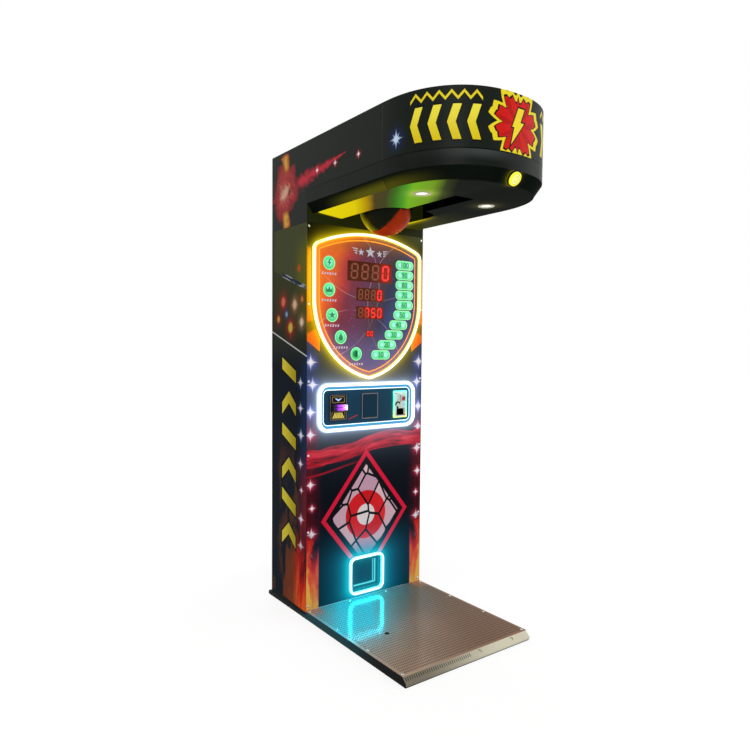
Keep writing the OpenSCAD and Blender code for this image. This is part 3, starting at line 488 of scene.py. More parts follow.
def frontMaterial():
    material, pins, spot = newMaterial("frontPrint", Specular_IOR_Level=0.02)
    x, y, z = split(spot)
    across = x.abs()
    color = Coat(mixColor(z.ease(1.30, 1.75), linear(9, 15, 24), linear(16, 18, 8)))
    # haze along both edges: blue above, red below
    cloud = noise(vector(x, z), 7.0, 3.0)
    shafts = noise(vector(x * 90.0, z * 5.0), 1.0, 3.0, 0.6, 0.4)
    haze = (across + (cloud - 0.5) * 0.06).ease(0.250, 0.375) * z.ease(0.30, 0.45) * z.ease(1.42, 1.28)
    haze = haze * shafts.ease(0.34, 0.62, 0.55, 1.25)
    tint = mixColor(z.ease(0.84, 1.02), linear(150, 16, 32), linear(38, 58, 132))
    color.lay(haze * z.ease(0.76, 0.98, 0.34, 0.62), tint)
    starSize = z.ease(0.75, 0.95, 0.044, 0.054)
    stars = useGroup(starColumn, {"U": across - 0.326, "V": z, "Pitch": 0.117, "Size": starSize})
    near = z.ease(0.28, 0.34) * z.ease(1.36, 1.32)
    halo = mixColor(z.ease(0.84, 1.02), linear(220, 56, 92), linear(92, 112, 214))
    color.lay(stars["Halo"] * near * 0.9, halo)
    color.lay(stars["Rays"] * near, linear(250, 244, 255))
    # orange spokes on both sides of the board
    turn = (z - 1.50).math("ARCTAN2", across) * 5.2
    spoke = turn.sine()
    tongue = (turn * 1.7).sine() * 0.030
    zone = across.ease(0.279, 0.282) * (z - 1.075 - across * 0.72).ease(-0.002, 0.002)
    zone = zone * (z + tongue).ease(1.768, 1.735)
    blaze = Coat(mixColor(z.ease(1.40, 1.56), linear(246, 96, 22), linear(196, 104, 8)))
    blaze.lay(spoke.ease(-0.5, 0.9), linear(240, 132, 26))
    blaze.lay(spoke.ease(-0.88, -0.98), linear(110, 66, 8))
    color.lay(zone, blaze.tone)
    # red painted ribbon between coin unit and window, streaked along its length
    drift = noise(vector(x * 3.4, z * 1.2), 1.0, 2.0, 0.5, 0.3)
    path = z - 0.803 - (x * 8.0 + 0.9).sine() * 0.012 - x * 0.10 - (drift - 0.5) * 0.08
    streaks = noise(vector(x * 6.0, path * 46.0), 1.0, 3.0, 0.5, 0.6)
    half = drift * 0.040 + 0.020
    ribbon = (path.abs() + (streaks - 0.5) * 0.030 - half).ease(0.002, -0.001)
    paint = ramp(streaks, [(0.30, linear(70, 8, 18)), (0.42, linear(158, 16, 32)),
                           (0.56, linear(206, 26, 46)), (0.70, linear(232, 62, 74))])
    color.lay(ribbon, paint)
    wisp = (path + 0.075 + (drift - 0.5) * 0.10).abs().ease(0.007, 0.002) * x.ease(0.05, -0.25)
    color.lay(wisp * 0.8, linear(176, 18, 34))
    # red diamond ring with a shattered field inside
    ringX, ringZ = x + 0.005, z - 0.455
    diamond = ringX.abs() * 0.78 + ringZ.abs() * 0.62
    inner = diamond.ease(0.196, 0.190)
    color.lay(inner, linear(12, 16, 20))
    shards = {"Vector": vector(ringX, ringZ * 0.8), "Scale": 11.0}
    cells = addNode(spot.tree, "TexVoronoi", shards, voronoi_dimensions="2D")
    edges = addNode(spot.tree, "TexVoronoi", shards, voronoi_dimensions="2D", feature="DISTANCE_TO_EDGE")
    shade = split(Wire(cells.outputs["Color"]))
    radius = distanceOf(ringX, ringZ)
    pale = mixColor(shade[0], linear(196, 150, 176), linear(236, 200, 206))
    glass = Coat(pale)
    glass.lay(radius.ease(0.125, 0.120), mixColor(shade[1], linear(206, 22, 30), linear(236, 44, 50)))
    glass.lay(radius.ease(0.056, 0.052), linear(238, 226, 228))
    leads = Wire(edges.outputs["Distance"]).ease(0.045, 0.065)
    field = diamond.ease(0.160, 0.156) * leads * z.ease(0.24, 0.34)
    color.lay(field, glass.tone)
    ring = (diamond - 0.196).abs().ease(0.0115, 0.0100)
    color.lay(ring, linear(228, 26, 62))
    # flames up both lower corners
    fireField = useGroup(flames, {"U": across, "V": z - 0.04, "Height": 0.46, "Scale": 1.25})
    corner = across.ease(0.281, 0.284)
    heat = (fireField["Heat"] + across.ease(0.28, 0.36) * z.ease(0.48, 0.34) * 0.20).clip() * corner
    color.lay(heat.ease(0.02, 0.20), ramp(heat * 0.85 + 0.16, fire))
    # light thrown by the three tubes
    window = boxDistance(x, z, outlet)
    boardSpill = tubeSpill(shieldDistance(x, z), 0.016, 0.070, z.ease(1.74, 1.84, 0.12, 0.02))
    glow = Coat(mixColor(boardSpill, black, linear(250, 226, 10)))
    glow.lay(x.ease(0.12, 0.34) * z.ease(1.77, 1.86) * 0.9, linear(70, 72, 38))
    glow.lay(tubeSpill(boxDistance(x, z, coinUnit), 0.012, 0.055, 0.26), linear(196, 218, 250))
    wide = window.max(0.0).fade(0.105) * z.ease(0.50, 0.20)
    glow.lay(wide * 0.6, linear(14, 122, 162))
    glow.lay(tubeSpill(window, 0.020, 0.050, 0.20), linear(20, 226, 246))
    printFinish(pins, spot, color.tone, glow.tone, y.below(frontY + 0.0012))
    return material


def headMaterial():
    material, pins, spot = newMaterial("headPrint", Specular_IOR_Level=0.06)
    x, y, z = split(spot)
    s = y - frontY
    color = Coat(skinColor)
    # a cloud of embers near the rear edge, a flame above and below it, a wing of sparks forward of it
    drift = noise(vector(s, z), 9.0, 4.0, 0.6, 0.6)
    bx, bz = (s - 0.215) / 0.150, (z - 2.055) / 0.150
    cloud = 1.0 - distanceOf(bx, bz) + (drift - 0.5) * 1.3
    fx, fz = ((s - 0.205) / 0.048 + (drift - 0.5) * 2.4).abs(), (z - 2.055).abs() / 0.185
    flame = (1.0 - fx) * fz.ease(0.42, 0.66) * fz.ease(1.04, 0.86)
    drop = (z - 2.084 + s * 0.12).abs() / ((s + 0.35) * 0.115).max(0.001)
    ragged = noise(vector(s, z), 30.0, 3.0, 0.6, 0.8)
    wing = 1.0 - drop + (drift - 0.5) * 1.3 + (ragged - 0.5) * 1.6
    wing = wing * s.ease(-0.345, -0.30) * s.ease(0.15, 0.06)
    color.lay(wing.ease(0.0, 0.35), mixColor(wing.ease(0.2, 0.9), linear(112, 22, 32), linear(196, 44, 60)))
    color.lay(cloud.ease(0.02, 0.25), ramp(cloud, [
        (0.0, linear(92, 20, 24)), (0.35, linear(160, 38, 44)), (0.62, linear(190, 74, 66)),
        (1.0, linear(222, 176, 150))]))
    color.lay(flame.ease(0.0, 0.35), ramp(flame, [
        (0.0, linear(120, 48, 24)), (0.4, linear(184, 98, 34)), (1.0, linear(226, 176, 70))]))
    curls = noise(vector(s, z), 17.0, 2.0, 0.4, 1.6)
    color.lay((curls - 0.5).abs().ease(0.030, 0.012) * cloud.ease(0.3, 0.5) * 0.8, linear(48, 12, 16))
    stars = useGroup(starColumn, {"U": z - 2.092, "V": s, "Pitch": 0.165, "Size": 0.034})
    near = s.ease(-0.50, -0.48) * s.ease(0.0, -0.01)
    color.lay(stars["Halo"] * near * 0.9, linear(190, 28, 52))
    color.lay(stars["Rays"] * near, linear(250, 240, 244))
    printFinish(pins, spot, color.tone, outside=x.abs().above(skinX))
    return material


def noseMaterial():
    # u runs round the nose from its left end, v up from its lower edge
    material, pins, spot = newMaterial("nosePrint", Specular_IOR_Level=0.06)
    u, v = localPlace(spot.tree)
    color = Coat(skinColor)
    across = u - noseLength / 2
    side = across.abs()  # both ends alike
    # blue spark beyond the arrowheads
    du, dv = (side - 0.505).abs() / 0.050, (v - 0.062).abs() / 0.056
    color.lay((sumSquares(du, dv) * -3.0).exponent() * 0.55, linear(34, 58, 132))
    color.lay(eightPoints(du, dv, (1.0, 0.6), (0.9, 0.4)), linear(206, 226, 252))
    # row of slanted yellow arrowheads on each side of the burst, a jagged line above it
    step = (side - 0.158) / 0.073
    w = step.fract() - 0.5
    h = (v - 0.092) / 0.064
    arrow = (w + h.abs() * 0.30 - 0.12).abs()
    row = step.above(0.0) * step.below(4.0) * h.abs().ease(1.0, 0.98)
    color.lay(side.above(noseLength / 2 - 0.0024), linear(56, 64, 57))
    rim = step.above(-0.1) * step.below(4.1) * h.abs().ease(1.12, 1.10)
    color.lay(arrow.ease(0.28, 0.26) * rim, linear(16, 14, 12))
    gold = mixColor(h.ease(-1.0, 1.0), linear(226, 202, 26), linear(246, 232, 70))
    color.lay(arrow.ease(0.22, 0.21) * row, gold)
    jag = ((side / 0.046).fract() - 0.5).abs() * 0.052 + 0.176
    line = ((v - jag) * 0.42).abs().ease(0.0030, 0.0022) * side.above(0.161) * side.below(0.437)
    color.lay(line, linear(236, 214, 40))
    # red burst with a yellow jagged edge at the tip, a bolt on it
    lift = v - 0.105
    a = lift.math("ARCTAN2", side)
    reach = distanceOf(side, lift)
    turn = 2 * math.pi
    teeth = ((a * 9.0 / turn).fract() - 0.5).abs() * 0.7 + ((a * 17.0 / turn).fract() - 0.5).abs() * 0.5
    ragged = reach + teeth * 0.095
    for size, tone in ((0.158, linear(242, 222, 40)), (0.136, linear(22, 12, 10)),
                       (0.128, linear(214, 28, 24))):
        color.lay(ragged.ease(size, size - 0.003), tone)
    shade = (a * 8.0 + 0.8).sine().ease(0.0, 0.3) * ragged.ease(0.128, 0.110)
    color.lay(shade * 0.6, linear(168, 14, 18))

    def bolt(grow):
        upper = (across - lift * 0.42 + 0.008).abs().ease(0.018 + grow, 0.016 + grow)
        upper = upper * lift.above(-0.010 - grow) * lift.below(0.064 + grow)
        lower = (across - 0.010 - (lift - 0.010) * 0.52).abs() - (lift + 0.072) * 0.27
        return upper.max(lower.ease(0.002 + grow, grow) * lift.below(0.012 + grow))

    color.lay(bolt(0.006), linear(24, 10, 8))
    color.lay(bolt(0.0), linear(250, 226, 50))
    printFinish(pins, spot, color.tone)
    return material


def shieldMaterial():
    material, pins, spot = newMaterial("shieldPrint", Roughness=0.22, Specular_IOR_Level=0.12)
    x, y, z = split(spot)
    distance = shieldDistance(x, z)
    cloud = noise(vector(x, z), 4.0, 4.0, 0.6)
    flow = x * 2.07 - (z - 1.55) * 0.86 + (cloud - 0.5) * 0.26 + 0.62
    color = Coat(ramp(flow, [
        (0.08, linear(220, 100, 34)), (0.23, linear(178, 56, 48)), (0.37, linear(112, 42, 58)),
        (0.55, linear(92, 42, 70)), (0.74, linear(68, 42, 50)), (0.86, linear(38, 40, 70)),
        (1.0, linear(50, 58, 102))]))
    # painted light of the tube: yellower towards the top
    color.lay(z.ease(1.73, 1.84) * 0.5, linear(140, 100, 22))
    color.lay(z.ease(1.44, 1.22) * 0.8, linear(106, 92, 136))
    # thin pale orbits and dust
    for cx, cz, radius, strength in ((-0.30, 1.60, 0.36, 0.30), (0.36, 1.50, 0.37, 0.26),
                                     (0.02, 1.95, 0.42, 0.20), (-0.10, 1.18, 0.30, 0.24)):
        orbit = (distanceOf(x - cx, z - cz) - radius).abs().ease(0.0035, 0.0008)
        color.lay(orbit * cloud.ease(0.3, 0.6) * strength, linear(236, 190, 200))
    specks = noise(vector(x, z), 160.0, 1.0, 0.4).ease(0.74, 0.80)
    color.lay(specks * 0.5, linear(230, 220, 240))
    # printed inner line and the tube's light on the edge
    line = (distance + 0.029).abs().ease(0.0030, 0.0018)
    color.lay(line, linear(255, 150, 40))
    edge = (distance + 0.007).abs().fade(0.013)
    warm = mixColor(x.ease(0.30, -0.20), linear(120, 90, 50), linear(250, 158, 12))
    # painted light: the whole face glows at three tenths of its print
    glow = Coat(mixColor(0.30, black, color.tone))
    glow.lay(line * 0.8, linear(255, 150, 40))
    glow.lay(edge * 0.9, warm)
    feed(pins["Base Color"], color.tone)
    shine(pins, glow.tone)
    feed(pins["Normal"], bump(noise(spot, 30.0, 1.0), 0.05, 0.001))
    return material


def bellyMaterial():
    # the underside takes a wash of yellow and green light from its rear left
    material, pins, spot = newMaterial("bellyPaint", Specular_IOR_Level=0.001)
    x, y, z = split(spot)
    s = y - frontY
    patch = addGrain(pins, spot, Depth=0.08, Roughness=0.4)
    feed(pins["Base Color"], mixColor(patch.ease(0.3, 0.7), linear(11, 15, 12), linear(15, 19, 15)))
    cloud = noise(spot, 3.0, 2.0)
    along = x * 0.808 - s * 0.589 + (cloud - 0.5) * 0.03
    wash = ramp((along + 0.25) / 0.60, [
        (0.0, linear(236, 216, 8)), (0.32, linear(220, 200, 8)), (0.42, linear(170, 134, 6)),
        (0.47, linear(76, 64, 32)), (0.55, linear(68, 64, 34)), (0.61, linear(56, 110, 32)),
        (0.67, linear(74, 152, 38)), (0.71, linear(112, 176, 34)), (0.84, linear(112, 150, 30)),
        (0.92, linear(46, 56, 20)), (1.0, linear(10, 14, 8))])
    flat = z.below(bellyZ + 0.0035)
    # painted shade: the wash dims to dark olive towards the rear left corner
    corner = ((x + 0.315) / 0.150 + s * -20.0).ease(0.80, 1.25)
    wash = mixColor(corner, linear(34, 36, 6), wash)
    glow = Coat(mixColor(x.ease(0.0, -0.06) * flat, linear(2, 4, 2), wash))
    # right of the slot only its edge is lit
    right = x.above(0.150) * flat
    lip = (x - 0.162).max(0.0).fade(0.016) * right * s.ease(-0.34, -0.12)
    glow.lay(right * s.ease(-0.50, 0.0) * 0.35, linear(92, 90, 24))
    glow.lay(lip, linear(226, 208, 16))
    # side chamfers in painted light: dark behind, olive towards the nose
    chamferGlow = (1.0 - flat) * s.ease(-0.10, -0.40) * s.ease(-0.86, -0.60) * x.below(0.0)
    chamferGlow = chamferGlow * z.ease(headPlan["trimLow"], 1.930)
    mitre = s + headPlan["straight"]
    glow.lay(chamferGlow * mitre.ease(-0.001, 0.001, 0.44, 0.60), linear(104, 100, 14))
    glow.lay(mitre.abs().ease(0.0022, 0.0012) * (1.0 - flat) * 0.8, linear(14, 15, 6))
    # painted light round the lamps and the start button
    for side, tone in ((-1, linear(190, 206, 90)), (1, linear(90, 84, 50))):
        away = distanceOf(x - side * lamp["x"], s + lamp["reach"]) - lamp["radius"]
        glow.lay(away.max(0.0).fade(0.020) * flat * 0.6, tone)
    away = distanceOf(x, s + startButton["reach"], z - startButton["z"]) - 0.028
    glow.lay(away.max(0.0).fade(0.007) * 0.6, linear(150, 146, 14))
    shine(pins, glow.tone)
    return material


def lightMaterial(name, core, rim, thrown, shown, cast, mirror, crown, board=False):
    # a lit tube: pale along its crown, deeper down its sides; it throws more and purer light than it shows
    material, pins, spot = newMaterial(name, Base_Color=core, Roughness=0.4)
    crest = -facingOf(spot.tree)[1]
    if board:
        # the score board's tube: slimmer core towards the right, its ends meet in the left upper corner
        x, y, z = split(spot)
        joint = sumSquares(x + 0.290, z - 1.786).ease(0.0022, 0.0008)
        crest = crest - x.ease(-0.20, 0.30) * 0.16 - joint * 0.5
    pale = crest.ease(*crown) * noise(spot, 60.0, 2.0).ease(0.2, 0.8, 0.94, 1.0)
    seen, mirrored = rays(spot.tree, "Camera"), rays(spot.tree, "Glossy")
    feed(pins["Emission Color"], mixColor(seen, thrown, mixColor(pale, rim, core)))
    feed(pins["Emission Strength"], seen * (shown - cast) + mirrored * (mirror - cast) + cast)
    return material


def trimMaterial():
    # satin black; its rounded end picks up a soft streak of room light under the seam
    material, pins, spot = newMaterial("trimPaint", Specular_IOR_Level=0.06)
    x, y, z = split(spot)
    patch = addGrain(pins, spot, Scale=1400.0, Depth=0.07, Roughness=0.36)
    tone = mixColor(patch.ease(0.3, 0.7), linear(15, 19, 16), linear(20, 26, 21))
    away = (x + 0.155) / 0.105
    gap = z.ease(2.0225, 2.0240)  # shaded joint under the print
    feed(pins["Base Color"], mixColor(gap * 0.85, tone, linear(2, 3, 2)))
    streak = (away * away * -1.0).exponent() * z.ease(1.978, 2.020) * y.below(frontY - 0.70) * (1.0 - gap)
    shine(pins, mixColor(streak * 0.55, black, linear(72, 78, 78)))
    return material


def basePaint():
    # black bars; the outlet's light tints the deck's side near the cabinet
    material = satin("basePaint", linear(14, 17, 15), 0.45, specular=0.04, scratch=0.2)
    x, y, z = split(place(material.node_tree))
    off = frontY - y
    lit = off.ease(0.60, 0.30) * off.ease(-0.08, 0.0) * x.below(-0.345)
    shine(material.node_tree.nodes["Principled BSDF"].inputs, mixColor(lit, black, linear(4, 50, 56)))
    return material


def besideTube(name, measure, tone, reach=0.016):
    # dark board lit by the tube that lies on it; measure gives the distance to the tube's line
    material, pins, spot = newMaterial(name, Specular_IOR_Level=0.08)
    x, y, z = split(spot)
    addGrain(pins, spot, Scale=1600.0, Depth=0.15, Roughness=0.5)
    near = measure(x, z).abs().fade(reach)
    pins["Base Color"].default_value = linear(14, 15, 17)
    shine(pins, mixColor(near, black, tone))
    return material


def metal(name, color, roughness=0.3, stretch=(60.0, 900.0, 60.0), dirt=0.0):
    # brushed metal; the brushing is long where the stretch is small
    material, pins, spot = newMaterial(name, Metallic=1.0)
    x, y, z = split(spot)
    hair = noise(vector(x * stretch[0], y * stretch[1], z * stretch[2]), 1.0, 3.0, 0.6)
    broad = noise(spot, 6.0, 4.0, 0.6)
    tone = mixColor(hair, shaded(color, 0.86), color)
    if dirt:
        tone = mixColor(broad.ease(0.45, 0.75) * dirt, tone, linear(70, 62, 52))
    feed(pins["Base Color"], tone)
    feed(pins["Roughness"], hair.ease(0.0, 1.0, roughness * 0.75, roughness * 1.3) + (broad - 0.5) * 0.12)
    feed(pins["Normal"], bump(hair, 0.06, 0.0003))
    return material


print("shared effects ready")


# outlines, the same as the model's

def arc(cx, cy, r, start, end, steps):
    turns = [math.radians(start + (end - start) * i / steps) for i in range(steps + 1)]
    return [(cx + r * math.cos(a), cy + r * math.sin(a)) for a in turns]


def roundedOutline(width, height, r, steps=8):
    w, h = width / 2 - r, height / 2 - r
    corners = ((0, w, h), (90, -w, h), (180, -w, -h), (270, w, -h))
    return [point for turn, cx, cy in corners for point in arc(cx, cy, r, turn, turn + 90, steps)]


def shieldOutline(inset):
    top, low, r = board["crown"] - inset, board["curve"] - inset, board["shoulder"] - inset
    sideZ, crownZ = board["top"] - board["side"], board["top"] - board["crown"]
    cx = board["half"] - board["shoulder"]
    shoulderZ = crownZ + math.sqrt((board["crown"] - board["shoulder"]) ** 2 - cx * cx)
    lowX = board["curve"] - board["half"]
    tip = math.degrees(math.acos(lowX / low))
    turn = math.degrees(math.atan2(cx, shoulderZ - crownZ))
    right = arc(-lowX, sideZ, low, -tip, 0, 40) + arc(cx, shoulderZ, r, 0, 90 - turn, 12)
    right += arc(0, crownZ, top, 90 - turn, 90, 24)
    return right + [(-x, z) for x, z in right[-2:0:-1]]


def nosePoint(t, inset=0.0):
    half, length, n = headPlan["half"], headPlan["reach"] - headPlan["straight"], headPlan["power"]
    c, s = math.cos(t), math.sin(t)
    x = half * math.copysign(abs(c) ** (2 / n), c)
    y = length * abs(s) ** (2 / n)
    nx = math.copysign((abs(x) / half) ** (n - 1) / half, x)
    ny = (y / length) ** (n - 1) / length
    size = math.hypot(nx, ny)
    return (x - inset * nx / size, frontY - headPlan["straight"] - y + inset * ny / size)


def noseOutline(inset=0.0):
    # from the left end to the right end, closer together where it bends most
    steps = 120
    return [nosePoint(math.pi * (1 - i / steps), inset) for i in range(steps + 1)]


nosePath = noseOutline()
noseLength = sum(math.dist(a, b) for a, b in zip(nosePath, nosePath[1:]))


# mesh tools

def newObject(name, data):
    item = bpy.data.objects.new(name, data)
    bpy.context.scene.collection.objects.link(item)
    return item


def addPiece(name, mesh, material, body="cabinet", replaces=(), smooth=None, bevel=0.0):
    piece = newObject(name, mesh)
    for item in (material if isinstance(material, (list, tuple)) else [material]):
        mesh.materials.append(item)
    if smooth is not None:
        for polygon in mesh.polygons:
            polygon.use_smooth = True
        mesh.set_sharp_from_angle(angle=math.radians(smooth))
    if bevel:
        rounding = piece.modifiers.new("softEdge", "BEVEL")
        rounding.width, rounding.segments, rounding.limit_method = bevel, 2, "ANGLE"
        rounding.angle_limit, rounding.harden_normals = math.radians(30), False
    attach(piece, body)
    if replaces:
        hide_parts(*replaces)
    return piece


def meshFrom(name, points, faces, coords=None):
    # coords hold each point's place for the print
    mesh = bpy.data.meshes.new(name)
    mesh.from_pydata([tuple(p) for p in points], [], faces)
    mesh.update()
    if coords:
        layer = mesh.uv_layers.new(name="UVMap")
        for loop in mesh.loops:
            layer.data[loop.index].uv = coords[loop.vertex_index]
    return mesh


def cleanCopy(node, width):
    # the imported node's own shape with its long edges rounded off
    shape = bmesh.new()
    shape.from_mesh(frame["nodes"][node].data)
    bmesh.ops.remove_doubles(shape, verts=shape.verts, dist=2e-6)
    bmesh.ops.dissolve_limit(shape, angle_limit=math.radians(0.5), verts=shape.verts, edges=shape.edges)
    sharp = [e for e in shape.edges if len(e.link_faces) == 2 and e.calc_face_angle(0) > math.radians(28)]
    bmesh.ops.bevel(shape, geom=sharp, offset=width, segments=2, profile=0.6, affect="EDGES",
                    clamp_overlap=True)
    mesh = bpy.data.meshes.new(node + "Soft")
    shape.to_mesh(mesh)
    shape.free()
    return mesh


bodyOf = {node: body for body, nodes in frame["record"]["behaviour"]["bodies"].items() for node in nodes}


def soften(node, name, material, width):
    piece = addPiece(name, cleanCopy(node, width), material, bodyOf[node], [node], smooth=32)
    weighted = piece.modifiers.new("flatFaces", "WEIGHTED_NORMAL")
    weighted.keep_sharp = True


class MeshBag:
    # gathers closed shapes of one piece; uv holds each point's place on its own shape, in metres
    def __init__(self, name):
        self.name, self.points, self.faces, self.slots, self.coords = name, [], [], [], []

    def add(self, points, faces, slot=0, coords=None):
        base = len(self.points)
        self.points += [tuple(p) for p in points]
        self.coords += coords or [(p[0], p[2]) for p in points]
        self.faces += [tuple(base + i for i in face) for face in faces]
        self.slots += [slot] * len(faces)

    def plate(self, outline, cx, cz, y0, y1, rim=0.0004, slot=0, steps=2):
        # solid plate from y0 forward to y1, its front edge rounded by rim
        loops = [(0.0, y0)]
        for k in range(steps + 1):
            a = math.pi / 2 * k / steps
            loops.append((rim * (1 - math.cos(a)), y1 + (rim if y1 < y0 else -rim) * (1 - math.sin(a))))
        points, coords, count = [], [], len(outline)
        for inset, y in loops:
            for i, (x, z) in enumerate(outline):
                (px, pz), (nx, nz) = outline[i - 1], outline[(i + 1) % count]
                tx, tz = nx - px, nz - pz
                size = math.hypot(tx, tz) or 1.0
                u, v = x - inset * tz / size, z + inset * tx / size
                points.append((cx + u, y, cz + v))
                coords.append((u, v))
        faces = []
        for k in range(len(loops) - 1):
            for i in range(count):
                j = (i + 1) % count
                faces.append((k * count + i, k * count + j, (k + 1) * count + j, (k + 1) * count + i))
        faces += [tuple(range((len(loops) - 1) * count, len(loops) * count)), tuple(range(count))[::-1]]
        self.add(points, faces, slot, coords)

    def band(self, outer, inner, cx, cz, y0, y1, crown=0.5, steps=4):
        # closed ring between two outlines, its front rounded
        points, coords, faces, count = [], [], [], len(outer)
        for (ox, oz), (ix, iz) in zip(outer, inner):
            for k in range(steps + 1):
                t = k / steps
                lift = math.sin(math.pi * t) ** 0.5 if 0 < k < steps else 0.0
                mix = 0.5 - 0.5 * math.cos(math.pi * t)
                u, v = ox + (ix - ox) * mix, oz + (iz - oz) * mix
                points.append((cx + u, y0 + (y1 - y0) * ((1 - crown) + crown * lift), cz + v))
                coords.append((u, v))
            points += [(cx + ix, y0, cz + iz), (cx + ox, y0, cz + oz)]
            coords += [(ix, iz), (ox, oz)]
        row = steps + 3
        for i in range(count):
            a, b = i * row, (i + 1) % count * row
            for k in range(row):
                k2 = (k + 1) % row
                faces.append((a + k, a + k2, b + k2, b + k))
        self.add(points, faces, 0, coords)

    def rim(self, outer, inner, cx, cz, y, tall, crown=0.5):
        # rounded rectangular ring; outer and inner are each width, height and corner
        self.band(roundedOutline(*outer), roundedOutline(*inner), cx, cz, y, y - tall, crown)

    def spin(self, profile, matrix=Matrix(), steps=32, slot=0, slots=None):
        # turns (radius, height) points about the matrix's own Z axis
        base, rows, coords = [], [], []
        for radius, height in profile:
            if radius < 1e-7:
                rows.append([len(base)])
                base.append(matrix @ Vector((0, 0, height)))
                coords.append((0.0, 0.0))
            else:
                rows.append(list(range(len(base), len(base) + steps)))
                for i in range(steps):
                    a = 2 * math.pi * i / steps
                    base.append(matrix @ Vector((radius * math.cos(a), radius * math.sin(a), height)))
                    coords.append((radius * math.cos(a), radius * math.sin(a)))
        start = len(self.points)
        self.points += [tuple(p) for p in base]
        self.coords += coords
        for k, (low, high) in enumerate(zip(rows, rows[1:])):
            for i in range(steps):
                j = (i + 1) % steps
                quad = [low[i % len(low)], low[j % len(low)], high[j % len(high)], high[i % len(high)]]
                face = tuple(start + q for q in dict.fromkeys(quad))
                if len(face) > 2:
                    self.faces.append(face)
                    self.slots.append(slots[k] if slots else slot)

    def box(self, x0, x1, y0, y1, z0, z1):
        points = [(x, y, z) for x in (x0, x1) for y in (y0, y1) for z in (z0, z1)]
        self.add(points, [(0, 1, 3, 2), (4, 6, 7, 5), (0, 4, 5, 1), (2, 3, 7, 6), (0, 2, 6, 4), (1, 5, 7, 3)])

    def take(self, mesh, matrix):
        self.add([matrix @ v.co for v in mesh.vertices], [tuple(p.vertices) for p in mesh.polygons])

    def mesh(self):
        mesh = meshFrom(self.name, self.points, self.faces, self.coords)
        for polygon, index in zip(mesh.polygons, self.slots):
            polygon.material_index = index
        shape = bmesh.new()
        shape.from_mesh(mesh)
        bmesh.ops.remove_doubles(shape, verts=shape.verts, dist=1e-7)
        bmesh.ops.recalc_face_normals(shape, faces=shape.faces)
        shape.to_mesh(mesh)
        shape.free()
        return mesh

    def piece(self, material, body="cabinet", replaces=(), slot=None, smooth=35):
        return addPiece(self.name, self.mesh(), material, body, replaces, smooth)


def prismFaces(count):
    # faces between two rings of points, the lower one first
    return [(k, (k + 1) % count, count + (k + 1) % count, count + k) for k in range(count)] \
        + [tuple(range(count, 2 * count)), tuple(range(count))[::-1]]


def facing(x, y, z, direction=(0, -1, 0)):
    # matrix whose own Z points along the direction
    turn = Vector((0, 0, 1)).rotation_difference(Vector(direction)).to_matrix().to_4x4()
    return Matrix.Translation((x, y, z)) @ turn


# finishes

blackPaint = satin("blackPaint", linear(14, 17, 17), 0.45, specular=0.05, scratch=0.2)
trimPaint = trimMaterial()
bellyPaint = bellyMaterial()
# throat panel: dark paint with a faint olive glow, painted light of the board's tube
throatPaintAndGlow = satin("throatPaintAndGlow", linear(24, 26, 14), 0.42, specular=0.04,
                    Emission_Color=linear(23, 27, 4), Emission_Strength=1.0)
innerSteel = satin("innerSteel", linear(52, 56, 58), 0.5)
blackPlastic = satin("blackPlastic", linear(14, 15, 17), 0.5, scale=1600.0, depth=0.2, specular=0.08)
# near-black finishes; on the parts inside the head they are painted shade
deepBlack = satin("deepBlack", linear(5, 6, 6), 0.8, specular=0.03)
deepSteel = satin("deepSteel", linear(15, 16, 16), 0.5, specular=0.03)
creamPaint = satin("creamPaint", linear(206, 202, 184), 0.35)
screwSteel = metal("screwSteel", linear(214, 214, 208), 0.22, (400.0, 400.0, 400.0))
groundSteel = metal("groundSteel", linear(190, 192, 194), 0.2, (900.0, 60.0, 60.0))
zincSteel = metal("zincSteel", linear(176, 178, 176), 0.35, (200.0, 200.0, 200.0), dirt=0.2)
redPlastic = satin("redPlastic", linear(200, 34, 26), 0.3, specular=0.5)
rubberBlack = satin("rubberBlack", linear(20, 20, 20), 0.8, depth=0.4)
yellowLight = lightMaterial("yellowLight", linear(252, 252, 246), linear(255, 236, 30), linear(255, 222, 20),
                            shown=1.05, cast=6.0, mirror=8.0, crown=(0.50, 0.84), board=True)
whiteLight = lightMaterial("whiteLight", linear(255, 255, 255), linear(226, 240, 255), linear(210, 228, 255),
                           shown=1.3, cast=4.0, mirror=3.0, crown=(0.20, 0.75))
cyanLight = lightMaterial("cyanLight", linear(255, 240, 246), linear(64, 226, 242), linear(20, 226, 255),
                          shown=1.0, cast=12.0, mirror=26.0, crown=(0.84, 0.97))

sidePrint, frontPrint, headPrint = sideMaterial(), frontMaterial(), headMaterial()
nosePrint, shieldPrint = noseMaterial(), shieldMaterial()
print("finishes ready")


# base, cabinet and head

deckPaint = basePaint()
for node, name, material, width in (
        ("base_frame", "baseBars", deckPaint, 0.0012), ("deck_board", "deckBoard", deckPaint, 0.0012),
        ("left_side", "leftSkin", sidePrint, 0.0008), ("right_side", "rightSkin", sidePrint, 0.0008),
        ("head_left_side", "headLeftSkin", headPrint, 0.0006),
        ("head_right_side", "headRightSkin", headPrint, 0.0006),
        ("front_panel", "frontSkin", frontPrint, 0.0005), ("throat_panel", "throatSkin", throatPaintAndGlow, 0.0005),
        ("trim_band", "trimSkirt", trimPaint, 0.0009), ("side_chamfers", "sideChamfers", bellyPaint, 0.0006),
        ("nose_chamfer", "noseChamfer", bellyPaint, 0.0006), ("belly_panel", "bellyPan", bellyPaint, 0.0005),
        ("top_cover", "topCover", blackPaint, 0.0005)):
    soften(node, name, material, width)
